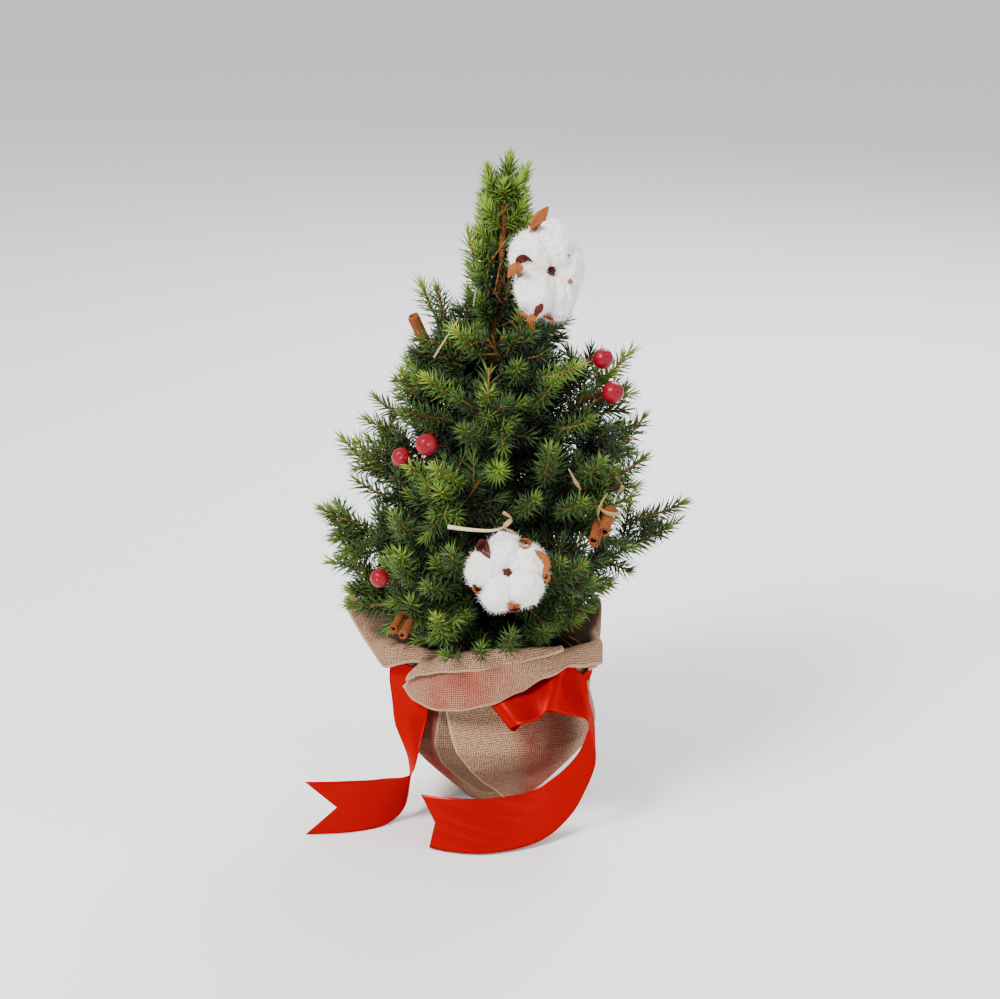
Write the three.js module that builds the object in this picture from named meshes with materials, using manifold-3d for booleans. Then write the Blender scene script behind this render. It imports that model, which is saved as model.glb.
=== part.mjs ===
// A dwarf spruce in a small tapered pot, wrapped in burlap and tied with a satin ribbon.
// Millimetres, +Z up. The origin is the middle of the wrap's flat underside, the front faces -Y and +X is to
// the right. Angles round the plant are in degrees from the front, growing towards the right.
import * as THREE from "three";
import { mergeVertices } from "three/addons/utils/BufferGeometryUtils.js";
import Module from "manifold-3d";

const wasm = await Module();
wasm.setup();

// Driving sizes
const CLEAR = 0.3; // gap between pieces that touch on the real plant
const TIP_HEIGHT = 448; // top of the leader
const SOIL_HEIGHT = 90;
const POT = {
  base: 1.5,
  baseRadius: 20.5,
  shoulder: 42,
  shoulderRadius: 54,
  rim: 96,
  rimRadius: 58,
  wall: 1.5,
  floor: 2,
};
const WRAP = { baseRadius: 23, rim: 98, foldCount: 7, foldDepth: 3.4, foldTop: 74, cloth: 1 };
const RIBBON = { width: 36, thickness: 0.6, bandRadius: 64.5, bandLow: 73, bandHigh: 92 };
const TRUNK = {
  top: 402, // the leader's young shoot goes on from here
  baseRadius: 5.4,
  tipRadius: 1.8,
  bow: 7, // how far it bows to the left and back to the right
  bowLength: 250, // height of one bow
  bowBack: 2, // how far its middle leans back
};
const FLARE = { depth: 3.2, height: 7, lobes: 5, lobeShare: 0.25 };

// Each tier of boughs: where it leaves the trunk, the height and reach of its furthest needles, how far right
// its middle lies, its number of boughs and the direction of the first. bare is the share of a bough without
// foliage; a tier with bare 0 grows straight from the trunk.
const TIERS = [
  { name: "low", from: 116, tip: 150, reach: 93, shift: -12, count: 5, turn: -88, bare: 0.27, shoots: 6 },
  { name: "wide", from: 134, tip: 205, reach: 126, shift: 3, count: 6, turn: 90, bare: 0.27, shoots: 6 },
  { name: "mid", from: 172, tip: 253, reach: 105, shift: 0, count: 5, turn: -90, bare: 0.25, shoots: 6 },
  { name: "high", from: 218, tip: 308, reach: 78, shift: 9, count: 4, turn: 82, bare: 0.24, shoots: 5 },
  { name: "upper", from: 258, tip: 348, reach: 52, shift: -5, count: 4, turn: 35, bare: 0, shoots: 6 },
  { name: "spire", from: 318, tip: 398, reach: 30, shift: 2, count: 3, turn: -70, bare: 0, shoots: 6 },
];
const LEADER = { name: "leader", bare: 0, shoots: 4, onTrunkTip: true };

// How much the boughs of a tier differ, and how they sag before they turn up to the tip.
const VARIETY = { angle: 10, least: 0.96, reach: 0.06, from: 5, tip: 8 };
const SAG = 0.05;
const BOUGH = { root: 1.6, perReach: 1 / 110, tip: 1.5 }; // radii, the root's by the tier's reach

const SEED = 2024;
const GOLDEN_ANGLE = 137.508;
// Shoots start at these shares of a mass's stem, at these angles to it, and get shorter towards its tip.
const SHOOT = {
  longest: 48,
  spanShare: 0.8,
  taper: 0.6,
  first: 0.1,
  last: 0.8,
  rootAngle: 56,
  tipAngle: 38,
  upturn: 0.15,
};
const TRIES = [1, 0.8, 0.6, 0.45]; // a shoot that doesn't fit is tried again at these shares of its length
const TWIG = { root: 2.3, tip: 1.1, rings: 6, stemRings: 8 };
// Each needle stands for many finer ones. beyond and above are how far needles reach past a stem's tip.
const NEEDLE = { length: 14, rootAngle: 64, tipAngle: 36, beyond: 8.4, above: 5.6 };
const CLOSED_UP = 0.5; // edges shorter than this are closed up where shoots join
const CENTRE_SHARE = 0.55; // where a mass's centre lies along its stem
const SPACE_MARGIN = 0.3; // how far each mass stays inside its own space

const material = (color, roughness) => new THREE.MeshStandardMaterial({ color, roughness, metalness: 0 });
const BARK = material(0x6b4a32, 0.9);
const GREEN = material(0x3f6b2c, 0.65);
const BURLAP = material(0xb39572, 0.95);
const SATIN = material(0xd4100f, 0.35);
const PLASTIC = material(0x2b2a28, 0.6);
const SOIL = material(0x3a2a1e, 1);

const model = new THREE.Group();
const keepOut = []; // grown copies of what foliage may not touch, each with its box and the mass that owns it

// Numbers and points

const radians = (degrees) => (degrees * Math.PI) / 180;
const mix = (a, b, share) => a + (b - a) * share;
const bump = (x, centre, width) => Math.exp(-(((x - centre) / width) ** 2));

// The point at a radius, an angle from the front and a height.
function polar(radius, degrees, z) {
  return new THREE.Vector3(radius * Math.sin(radians(degrees)), -radius * Math.cos(radians(degrees)), z);
}

// A value read off a short list of [position, value] pairs, with straight runs between them.
function along(pairs, position) {
  if (position <= pairs[0][0]) return pairs[0][1];
  for (let i = 1; i < pairs.length; i++) {
    const [x0, y0] = pairs[i - 1];
    const [x1, y1] = pairs[i];
    if (position <= x1) return mix(y0, y1, (position - x0) / (x1 - x0));
  }
  return pairs[pairs.length - 1][1];
}

// A small seeded generator, so that every build grows the same plant.
function seeded(seed) {
  let state = seed >>> 0;
  return () => {
    state = (Math.imul(state, 1664525) + 1013904223) >>> 0;
    return state / 4294967296;
  };
}

// Solids and meshes

function solidOf(geometry) {
  const bare = geometry.clone();
  bare.deleteAttribute("normal");
  bare.deleteAttribute("uv");
  const merged = mergeVertices(bare, 1e-3);
  const vertProperties = merged.attributes.position.array;
  const triVerts = new Uint32Array(merged.index.array);
  return new wasm.Manifold(new wasm.Mesh({ numProp: 3, vertProperties, triVerts }));
}

function geometryOf(solid) {
  const made = solid.getMesh();
  const geometry = new THREE.BufferGeometry();
  geometry.setAttribute("position", new THREE.BufferAttribute(new Float32Array(made.vertProperties), 3));
  geometry.setIndex(new THREE.BufferAttribute(new Uint32Array(made.triVerts), 1));
  geometry.computeVertexNormals();
  return geometry;
}

function boxOf(geometry) {
  return new THREE.Box3().setFromBufferAttribute(geometry.attributes.position);
}

function add(name, geometry, finish) {
  const mesh = new THREE.Mesh(geometry, finish);
  mesh.name = name;
  model.add(mesh);
}

function keepClearOf(geometry, owner) {
  keepOut.push({ solid: solidOf(geometry), box: boxOf(geometry), owner });
}

// Moves every vertex of a geometry to the point that place(vertex) gives for it.
function shaped(geometry, place) {
  const at = geometry.attributes.position;
  for (let i = 0; i < at.count; i++) {
    const point = place(new THREE.Vector3().fromBufferAttribute(at, i));
    at.setXYZ(i, point.x, point.y, point.z);
  }
  return geometry;
}

// A box whose back is cut into triangles along the same diagonals as its front, so that it keeps its
// thickness when it is twisted. In the back's cells the corners a, b, d, b, c, d become a, b, c, a, c, d.
function flatBox(across, lengthwise) {
  const box = new THREE.BoxGeometry(1, 1, 1, across, lengthwise, 1);
  const back = box.groups[5];
  for (let i = back.start; i < back.start + back.count; i += 6) {
    box.index.setX(i + 2, box.index.getX(i + 4));
    box.index.setX(i + 3, box.index.getX(i));
  }
  return box;
}

// A flat box bent so that its middle lies on place(s, t), for s and t from 0 to 1.
function sheet(across, lengthwise, thickness, place) {
  const step = 0.004;
  return shaped(flatBox(across, lengthwise), (vertex) => {
    const s = vertex.x + 0.5;
    const t = vertex.y + 0.5;
    const alongS = place(Math.min(s + step, 1), t).sub(place(Math.max(s - step, 0), t));
    const alongT = place(s, Math.min(t + step, 1)).sub(place(s, Math.max(t - step, 0)));
    return place(s, t).addScaledVector(alongS.cross(alongT).normalize(), vertex.z * thickness);
  });
}

// Two directions square to a curve's tangent, so that side, tangent and other make a right-handed set.
function sides(curve, place) {
  const steep = Math.abs(curve.getTangent(0.5).z) > 0.7;
  const reference = steep ? new THREE.Vector3(1, 0, 0) : new THREE.Vector3(0, 0, 1);
  const tangent = curve.getTangent(place);
  const side = reference.cross(tangent).normalize();
  const other = side.clone().cross(tangent).normalize();
  return { tangent, side, other };
}

// A round limb that follows a curve from start to end, with its radius given by radiusAt(share).
function limb(curve, start, end, radiusAt, corners, steps) {
  return shaped(new THREE.CylinderGeometry(1, 1, 1, corners, steps), (vertex) => {
    const share = vertex.y + 0.5;
    const place = mix(start, end, share);
    const { side, other } = sides(curve, place);
    const radius = radiusAt(share);
    return curve
      .getPoint(place)
      .addScaledVector(side, vertex.x * radius)
      .addScaledVector(other, vertex.z * radius);
  });
}

// A closed turned shape, its outline running from the axis out and back to the axis, or round on itself.
function turned(outline, corners) {
  const points = outline.map(([radius, z]) => new THREE.Vector2(radius, z));
  return new THREE.LatheGeometry(points, corners).rotateX(Math.PI / 2);
}

// The pot and its soil

// Radius of the pot's outside at a height.
function potRadius(z) {
  const { baseRadius, base, shoulderRadius, shoulder, rimRadius, rim } = POT;
  return along([[base, baseRadius], [shoulder, shoulderRadius], [rim, rimRadius]], z);
}

function addPot() {
  const { base, rim, shoulder, wall } = POT;
  const floor = base + POT.floor;
  const outside = [base, shoulder, rim].map((z) => [potRadius(z), z]);
  const inside = [rim, shoulder, floor].map((z) => [potRadius(z) - wall, z]);
  add("pot", turned([[0, base], ...outside, ...inside, [0, floor]], 24), PLASTIC);
  const bed = floor + CLEAR;
  const fill = [bed, shoulder, SOIL_HEIGHT].map((z) => [potRadius(z) - wall - 2 * CLEAR, z]);
  add("soil", turned([[0, bed], ...fill, [0, SOIL_HEIGHT]], 24), SOIL);
}

// The burlap: a cup round the pot, a pointed flap in front and a collar that is turned down over the tie

// Radius of the wrap's outside at a height, before its folds: a steep cone, a soft belly and a neck.
const WRAP_OUTLINE = [
  [0, WRAP.baseRadius],
  [12, 33.5],
  [27, 46.5],
  [42, 59],
  [56, 65],
  [68, 64],
  [80, 61.5],
  [WRAP.rim, 62],
];
const wrapRadius = (z) => along(WRAP_OUTLINE, z);

// How far the gathered cloth stands out at a place, none at the foot and at the tied neck.
function foldAt(degrees, z) {
  const wave = 0.5 + 0.5 * Math.cos(radians(degrees * WRAP.foldCount + 40 + z * 0.6));
  const fade = Math.sin(Math.PI * Math.min(z / WRAP.foldTop, 1)) ** 2;
  return WRAP.foldDepth * wave ** 2 * fade;
}

function addWrapBody() {
  const outside = WRAP_OUTLINE.map(([z, radius]) => [radius, z]);
  const gap = 2 * CLEAR;
  const floor = POT.base - CLEAR;
  const inside = [[POT.rimRadius, WRAP.rim], [POT.shoulderRadius, POT.shoulder], [POT.baseRadius, floor]];
  const cup = turned([[0, 0], ...outside, ...inside.map(([radius, z]) => [radius + gap, z]), [0, floor]], 36);
  const folded = shaped(cup, (vertex) => {
    const radius = Math.hypot(vertex.x, vertex.y);
    const isOutside = vertex.z > 0 && radius > wrapRadius(vertex.z) - 0.01;
    if (!isOutside) return vertex;
    const degrees = (Math.atan2(vertex.x, -vertex.y) * 180) / Math.PI;
    return polar(radius + foldAt(degrees, vertex.z), degrees, vertex.z);
  });
  add("wrap_body", folded, BURLAP);
}

// The front flap hangs from the ribbon and comes to one point at the floor, right of the middle. Its edges
// are given as angles by height, and it lies proud of the cup, most of all at its point.
const FLAP = {
  low: 0.6,
  high: 71,
  left: [[0, 19], [8, 8], [30, -10], [55, -22], [72, -27]],
  right: [[0, 24], [15, 47], [38, 76], [60, 82], [72, 78]],
  lift: 2.6,
  pointLift: 3.2,
  pointHeight: 9,
};
function flapPlace(s, t) {
  const z = mix(FLAP.low, FLAP.high, t);
  const degrees = mix(along(FLAP.left, z), along(FLAP.right, z), s);
  const lift = FLAP.lift + FLAP.pointLift * bump(z, 0, FLAP.pointHeight);
  return polar(wrapRadius(z) + foldAt(degrees, z) + lift, degrees, z);
}

// The collar's front hangs as a leaf-shaped band that is deepest left of the middle, with its left end cut
// on a slant. Its back runs round behind the plant, flares into the cloth's two back corners and ends at
// the left of the front. low is the hem's height and high the fold's, both by angle.
const COLLAR_FRONT = {
  from: -61,
  to: 78,
  slant: 25, // how much further right its left end starts at the rim than at the hem
  low: [[-61, 86], [-52, 75], [-36, 70], [-15, 67.5], [0, 76], [16, 87], [34, 97], [50, 101], [78, 97]],
  high: [[-61, 104], [-45, 112], [-15, 121], [8, 124], [28, 124], [45, 122], [78, 116]],
};
const COLLAR_BACK = {
  from: 81,
  to: 314,
  low: [[81, 93], [262, 93], [285, 100], [314, 112]],
  high: [[81, 113], [262, 113], [285, 118], [314, 124]],
  rippleDepth: 1.5,
  rippleCount: 6,
};
// Radius of the hem, by angle, and how far the fold stands out past it.
const HEM = {
  front: [[-61, 73.5], [-45, 72.5], [-25, 69.5]],
  back: [[81, 69.5], [100, 66.4], [240, 66.4], [270, 76], [290, 78], [314, 74]],
  bulge: 5,
};
const CORNERS = [
  { angle: 255, spread: 17, radius: 108, z: 131 },
  { angle: 116, spread: 15, radius: 78, z: 128 },
];
const COLLAR_ROOT = 61.6; // radius where the collar goes on from the wrap's rim
const STRAIGHTENED = [0, 0.12, 0.6, 1]; // where a corner's section has its four control points

// The collar's section at an angle: from the rim, t = 1, over the fold to the hem, t = 0. At a corner it runs
// straight out to the cloth's point.
function collarSection(degrees, low, high, hem, t) {
  const rim = WRAP.rim + 2 * CLEAR;
  const fold = (8 * high - rim - low) / 6; // control height that puts the fold's top at high
  let points = [[COLLAR_ROOT, rim], [COLLAR_ROOT + 1, fold], [hem + HEM.bulge, fold], [hem, low]];
  for (const corner of CORNERS) {
    const weight = bump(degrees, corner.angle, corner.spread);
    const straight = (share) => [mix(COLLAR_ROOT, corner.radius, share), mix(rim, corner.z, share)];
    const flat = STRAIGHTENED.map(straight);
    points = points.map((point, i) => point.map((value, axis) => mix(value, flat[i][axis], weight)));
  }
  const section = new THREE.CubicBezierCurve(...points.map(([radius, z]) => new THREE.Vector2(radius, z)));
  const { x, y } = section.getPoint(1 - t);
  return polar(x, degrees, y);
}
function collarFrontPlace(s, t) {
  const degrees = mix(COLLAR_FRONT.from + COLLAR_FRONT.slant * t, COLLAR_FRONT.to, s);
  const low = along(COLLAR_FRONT.low, degrees);
  const high = along(COLLAR_FRONT.high, degrees);
  return collarSection(degrees, low, high, along(HEM.front, degrees), t);
}
function collarBackPlace(s, t) {
  const degrees = mix(COLLAR_BACK.from, COLLAR_BACK.to, s);
  const ripple = COLLAR_BACK.rippleDepth * Math.sin(radians(degrees * COLLAR_BACK.rippleCount));
  const low = along(COLLAR_BACK.low, degrees) + ripple;
  const high = along(COLLAR_BACK.high, degrees) + ripple;
  return collarSection(degrees, low, high, along(HEM.back, degrees), t);
}

function addWrap() {
  addWrapBody();
  const collarFront = (thickness) => sheet(16, 6, thickness, collarFrontPlace);
  const collarBack = (thickness) => sheet(28, 5, thickness, collarBackPlace);
  add("wrap_flap", sheet(9, 8, WRAP.cloth, flapPlace), BURLAP);
  add("wrap_collar_front", collarFront(WRAP.cloth), BURLAP);
  add("wrap_collar_back", collarBack(WRAP.cloth), BURLAP);
  keepClearOf(collarFront(WRAP.cloth + 4 * CLEAR));
  keepClearOf(collarBack(WRAP.cloth + 4 * CLEAR));
}

// The ribbon: a band round the neck, a folded loop and two long tails that stand on the floor on their edges

// Each strip is a route of middle points and, beside each point, the direction of the ribbon's width there.
const LEFT_ROUTE = [
  [[-58.3, -36.4, 106], [0.72, -0.69, 0]],
  [[-58.7, -36.8, 92], [0.74, -0.67, 0]],
  [[-58.2, -38, 76], [0.68, -0.73, 0]],
  [[-59.5, -43, 60], [0.5, -0.86, 0]],
  [[-57, -54, 40], [0.12, -0.95, 0.3]],
  [[-61, -58, 24], [0.05, -0.55, 0.85]],
  [[-76, -64, 18.8], [0, -0.1, 1]],
  [[-101, -71, 18.6], [0, 0.1, 1]],
  [[-127, -73, 18.6], [0, 0.15, 1]],
];
const FRONT_ROUTE = [
  [[39, -64.3, 86], [0.1, 0.1, 0.99]],
  [[19, -71.8, 81], [-0.2, 0.1, 0.97]],
  [[3, -78, 77], [-0.35, 0.08, 0.93]],
  [[-3, -84, 75], [-0.42, 0.15, 0.89]],
  [[2, -88, 74], [-0.45, 0.25, 0.85]],
  [[13, -89, 76], [-0.45, 0.32, 0.84]],
  [[28, -85, 84], [-0.2, 0.35, 0.92]],
  [[41, -78, 90], [0.22, 0.4, 0.9]],
  [[51, -71, 85], [0.42, 0.6, 0.68]],
  [[57.5, -66, 71], [0.3, 0.92, 0.25]],
  [[62.5, -68, 54], [0.15, 0.93, -0.33]],
  [[60, -73, 38], [0.3, 0.55, -0.78]],
  [[52, -80, 26], [0.25, 0.05, -0.97]],
  [[40, -87, 20.5], [0.1, -0.3, -0.95]],
  [[20, -93, 18.8], [0, -0.38, -0.93]],
  [[-6, -101, 18.6], [0, -0.3, -0.95]],
  [[-32, -98, 18.6], [0.1, -0.2, -0.97]],
  [[-47, -92, 18.6], [0.15, -0.2, -0.97]],
];
// The front ribbon is one route: a loop that lies over the collar, and the tail beyond it. from and to are
// shares of a route, and notch is the depth of the swallow-tail cut at a strip's end, as such a share.
const LOOP_END = 0.4;
const STRIPS = [
  { name: "ribbon_tail_left", route: LEFT_ROUTE, from: 0, to: 1, notch: 0.1, steps: 26 },
  { name: "ribbon_bow", route: FRONT_ROUTE, from: 0, to: LOOP_END, notch: 0, steps: 20 },
  { name: "ribbon_tail_front", route: FRONT_ROUTE, from: LOOP_END + 0.002, to: 1, notch: 0.02, steps: 26 },
];

function addStrip({ name, route, from, to, notch, steps }) {
  const middle = new THREE.CatmullRomCurve3(route.map(([point]) => new THREE.Vector3(...point)));
  const leans = route.map(([, across]) => new THREE.Vector3(...across).normalize());
  const lean = new THREE.CatmullRomCurve3(leans);
  const strip = sheet(2, steps, RIBBON.thickness, (s, t) => {
    const place = mix(from, to - notch * (1 - Math.abs(2 * s - 1)), t);
    const across = lean.getPoint(place).normalize();
    return middle.getPoint(place).addScaledVector(across, (s - 0.5) * RIBBON.width);
  });
  add(name, strip, SATIN);
}

function addRibbon() {
  const { bandRadius, bandLow, bandHigh, thickness } = RIBBON;
  const outer = bandRadius + thickness;
  const section = [[bandRadius, bandLow], [outer, bandLow], [outer, bandHigh], [bandRadius, bandHigh]];
  add("ribbon_band", turned([...section, section[0]], 36), SATIN);
  STRIPS.forEach(addStrip);
}

// The trunk and its boughs

// The trunk's middle line: it bows to the left and back to the right.
function trunkMiddle(z) {
  const turn = (Math.PI * (z - SOIL_HEIGHT)) / TRUNK.bowLength;
  return new THREE.Vector3(-TRUNK.bow * Math.sin(turn), TRUNK.bowBack * Math.sin(turn / 2), z);
}

// The trunk, with its lobed root flare and its foot cut flat on the soil, grown all round by a given amount.
function trunk(grown) {
  const foot = SOIL_HEIGHT + CLEAR;
  const post = new THREE.CylinderGeometry(1, 1, 1, 10, 12).rotateX(Math.PI / 2);
  return shaped(post, (vertex) => {
    const share = (vertex.z + 0.5) ** 1.4; // closer rings near the flare
    const z = mix(foot, TRUNK.top, share);
    const wave = Math.cos(FLARE.lobes * Math.atan2(vertex.y, vertex.x));
    const lobe = mix(1, wave, FLARE.lobeShare);
    const flare = FLARE.depth * lobe * Math.exp((foot - z) / FLARE.height);
    const radius = mix(TRUNK.baseRadius, TRUNK.tipRadius, share) + flare + grown;
    const middle = trunkMiddle(z);
    return new THREE.Vector3(middle.x + vertex.x * radius, middle.y + vertex.y * radius, z);
  });
}

// One limb from the trunk to the edge of the crown: it sags a little and turns up to its tip.
function limbCurve(tier, index, random) {
  const degrees = tier.turn + (360 / tier.count) * index + (random() - 0.5) * VARIETY.angle;
  const furthest = tier.reach * (VARIETY.least + VARIETY.reach * random());
  const start = trunkMiddle(tier.from + VARIETY.from * random());
  const height = tier.tip + VARIETY.tip * (random() - 0.5);
  const tip = polar(furthest - NEEDLE.beyond, degrees, height - NEEDLE.above);
  tip.x += tier.shift;
  const middle = start.clone().lerp(tip, 0.5);
  middle.z -= SAG * tier.reach;
  return new THREE.QuadraticBezierCurve3(start, middle, tip);
}

function straightCurve(start, end) {
  return new THREE.QuadraticBezierCurve3(start, start.clone().lerp(end, 0.5), end);
}

// Every limb with the mass of foliage that it carries. A mass owns the space that is nearest to its centre,
// and its stem starts where the bare bough ends.
function planLimbs() {
  const limbs = [];
  TIERS.forEach((tier, level) => {
    for (let index = 0; index < tier.count; index++) {
      const random = seeded(SEED + 97 * level + 13 * index);
      const curve = limbCurve(tier, index, random);
      limbs.push({ tier, name: `${tier.name}_${index + 1}`, curve, random });
    }
  });
  const leader = straightCurve(trunkMiddle(TRUNK.top), trunkMiddle(TIP_HEIGHT - NEEDLE.length));
  limbs.push({ tier: LEADER, name: LEADER.name, curve: leader, random: seeded(SEED + 999) });
  for (const each of limbs) {
    const { bare, onTrunkTip } = each.tier;
    each.centre = each.curve.getPoint(mix(bare, 1, CENTRE_SHARE));
    each.cutAtTrunk = !bare && !onTrunkTip;
    each.start = each.cutAtTrunk ? 0 : bare + CLEAR / each.curve.getLength();
  }
  return limbs;
}
const limbs = planLimbs();

function addLimbs(grownTrunk) {
  add("trunk", trunk(0), BARK);
  keepClearOf(trunk(CLEAR));
  for (const each of limbs) {
    const { tier, curve, name } = each;
    keepClearOf(limb(curve, each.start, 1, () => TWIG.root + CLEAR, 4, 4), each);
    if (!tier.bare) continue;
    const radiusAt = (share) => mix(BOUGH.root + BOUGH.perReach * tier.reach, BOUGH.tip, share);
    const bough = solidOf(limb(curve, 0, tier.bare, radiusAt, 5, 3)).subtract(grownTrunk);
    add(`bough_${name}`, geometryOf(bough), BARK);
    keepClearOf(limb(curve, 0, each.start, (share) => radiusAt(share) + CLEAR, 5, 3));
  }
}

// The masses of foliage

function inSpace(point, own) {
  return limbs.every((other) => {
    if (other === own) return true;
    const apart = own.centre.distanceTo(other.centre);
    const lead = point.distanceToSquared(other.centre) - point.distanceToSquared(own.centre);
    return lead / (2 * apart) > SPACE_MARGIN;
  });
}

function allInSpace(geometry, own) {
  const at = geometry.attributes.position;
  for (let i = 0; i < at.count; i++) {
    if (!inSpace(new THREE.Vector3().fromBufferAttribute(at, i), own)) return false;
  }
  return true;
}

function touchesLimb(geometry, own) {
  const box = boxOf(geometry);
  const near = keepOut.filter((kept) => kept.owner !== own && kept.box.intersectsBox(box));
  return near.some((kept) => !kept.solid.intersect(solidOf(geometry)).isEmpty());
}

// A three-sided twig whose corners stand out by turns as needles, one to a ring, in a spiral up to the tip.
// Rings below the first one given stay bare, and a needle that would leave the space is left out.
function needledTwig(curve, start, rings, first, turn, own) {
  return shaped(new THREE.CylinderGeometry(1, 1, 1, 3, rings), (vertex) => {
    const share = vertex.y + 0.5;
    const place = mix(start, 1, share);
    const { tangent, side, other } = sides(curve, place);
    const middle = curve.getPoint(place);
    const onAxis = Math.hypot(vertex.x, vertex.z) < 0.5;
    if (onAxis) return middle;
    const ring = Math.round(share * rings);
    const angle = Math.atan2(vertex.x, vertex.z);
    const corner = Math.round((angle * 3) / (2 * Math.PI)) + 3;
    const twist = angle + radians(turn - ring * (GOLDEN_ANGLE - 120));
    const out = side.multiplyScalar(Math.sin(twist)).addScaledVector(other, Math.cos(twist));
    const surface = middle.clone().addScaledVector(out, mix(TWIG.root, TWIG.tip, share));
    const bearsNeedle = ring >= first && ring < rings && (corner + ring) % 3 === 0;
    const spread = radians(mix(NEEDLE.rootAngle, NEEDLE.tipAngle, share));
    const tip = middle.addScaledVector(tangent, NEEDLE.length * Math.cos(spread));
    tip.addScaledVector(out, NEEDLE.length * Math.sin(spread));
    return bearsNeedle && inSpace(tip, own) && inSpace(surface, own) ? tip : surface;
  });
}

// The direction of a side shoot that leaves a stem at a place, turned round it by an angle.
function shootDirection(curve, place, turn, spread) {
  const { tangent, side, other } = sides(curve, place);
  const direction = tangent.multiplyScalar(Math.cos(spread));
  direction.addScaledVector(side, Math.cos(turn) * Math.sin(spread));
  direction.addScaledVector(other, Math.sin(turn) * Math.sin(spread));
  direction.z += SHOOT.upturn;
  return direction.normalize();
}

// One mass: a needled stem that goes on from the bough's tip, with side shoots turned by the golden angle.
function addFoliage(each, grownTrunk) {
  const { tier, curve, name, start, random, cutAtTrunk } = each;
  const span = curve.getLength() * (1 - tier.bare);
  const longest = Math.min(SHOOT.longest, span * SHOOT.spanShare);
  const firstRing = cutAtTrunk ? TWIG.stemRings - 3 : 1;
  const solids = [solidOf(needledTwig(curve, start, TWIG.stemRings, firstRing, 360 * random(), each))];
  for (let k = 0; k < tier.shoots; k++) {
    const share = mix(SHOOT.first, SHOOT.last, k / tier.shoots);
    const place = mix(start, 1, share);
    const turn = radians(k * GOLDEN_ANGLE) + 2 * Math.PI * random();
    const spread = radians(mix(SHOOT.rootAngle, SHOOT.tipAngle, share));
    const direction = shootDirection(curve, place, turn, spread);
    const root = curve.getPoint(place);
    const needleTurn = 360 * random();
    for (const shorter of TRIES) {
      const length = longest * mix(1, SHOOT.taper, share) * shorter;
      const line = new THREE.LineCurve3(root, root.clone().addScaledVector(direction, length));
      const shoot = needledTwig(line, 0, TWIG.rings, 2, needleTurn, each);
      if (!allInSpace(shoot, each) || touchesLimb(shoot, each)) continue;
      solids.push(solidOf(shoot));
      break;
    }
  }
  const joined = wasm.Manifold.union(solids);
  const mass = cutAtTrunk ? joined.subtract(grownTrunk) : joined;
  const whole = mass.decompose().sort((a, b) => b.volume() - a.volume())[0];
  add(`foliage_${name}`, geometryOf(whole.simplify(CLOSED_UP)), GREEN);
}

addPot();
addWrap();
addRibbon();
const grownTrunk = solidOf(trunk(CLEAR));
addLimbs(grownTrunk);
for (const each of limbs) addFoliage(each, grownTrunk);

export default model;
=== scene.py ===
import math

import bmesh
import bpy
import numpy as np
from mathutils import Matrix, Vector, noise


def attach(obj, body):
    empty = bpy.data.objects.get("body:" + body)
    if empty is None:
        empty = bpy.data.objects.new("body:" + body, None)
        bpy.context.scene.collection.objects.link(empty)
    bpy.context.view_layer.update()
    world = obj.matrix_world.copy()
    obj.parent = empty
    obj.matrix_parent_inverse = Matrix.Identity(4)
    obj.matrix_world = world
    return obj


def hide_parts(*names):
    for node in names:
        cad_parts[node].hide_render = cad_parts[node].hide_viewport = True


MM = 0.001
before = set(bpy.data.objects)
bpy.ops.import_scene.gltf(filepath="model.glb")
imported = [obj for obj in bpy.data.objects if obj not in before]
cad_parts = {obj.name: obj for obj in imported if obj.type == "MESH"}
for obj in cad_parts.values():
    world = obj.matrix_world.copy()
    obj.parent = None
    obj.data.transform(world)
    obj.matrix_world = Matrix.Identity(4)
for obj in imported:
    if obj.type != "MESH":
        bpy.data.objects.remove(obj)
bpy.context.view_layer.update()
nodes = sorted(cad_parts)

# Sizes shared with the solids

TIP_HEIGHT = 448
SOIL_HEIGHT = 90
CLEAR = 0.3
POT = [[1.5, 20.5], [42, 54], [96, 58]]
POT_WALL = 1.5
WRAP_OUTLINE = [[0, 23], [12, 33.5], [27, 46.5], [42, 59], [56, 65], [68, 64], [80, 61.5], [98, 62]]
WRAP_RIM = 98
FOLDS = {"count": 7, "depth": 3.4, "top": 74}
CLOTH = 1
RIBBON = {"width": 36, "thickness": 0.6, "band_radius": 64.5}
TRUNK = {"top": 402, "base_radius": 5.4, "tip_radius": 1.8, "bow": 7, "bow_length": 250, "bow_back": 2}
TRUNK_TAPER = 1 / 1.4  # power by which the trunk thins, soonest near its foot
FLARE = {"depth": 3.2, "height": 7, "lobes": 5, "lobe_share": 0.25}
BOUGH = {"root": 1.6, "per_reach": 1 / 110, "tip": 1.5}
# Each tier of boughs: the height where it leaves the trunk, the height and reach of its furthest needles, how
# far right its middle lies, its number of boughs, the direction of the first, and the share of a bough
# without foliage, which is 0 where the limbs grow straight from the trunk
TIER_KEYS = ("name", "from", "tip", "reach", "shift", "count", "turn", "bare")
TIER_ROWS = [
    ("low", 116, 150, 93, -12, 5, -88, 0.27),
    ("wide", 134, 205, 126, 3, 6, 90, 0.27),
    ("mid", 172, 253, 105, 0, 5, -90, 0.25),
    ("high", 218, 308, 78, 9, 4, 82, 0.24),
    ("upper", 258, 348, 52, -5, 4, 35, 0),
    ("spire", 318, 398, 30, 2, 3, -70, 0),
]
TIERS = [dict(zip(TIER_KEYS, row)) for row in TIER_ROWS]
LEADER = {"name": "leader", "bare": 0}
VARIETY = {"angle": 10, "least": 0.96, "reach": 0.06, "from": 5, "tip": 8}  # how much a tier's boughs differ
SAG = 0.05
TIP_NEEDLES = {"beyond": 8.4, "above": 5.6, "leader": 14}  # how far needles reach past a stem's tip
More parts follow.
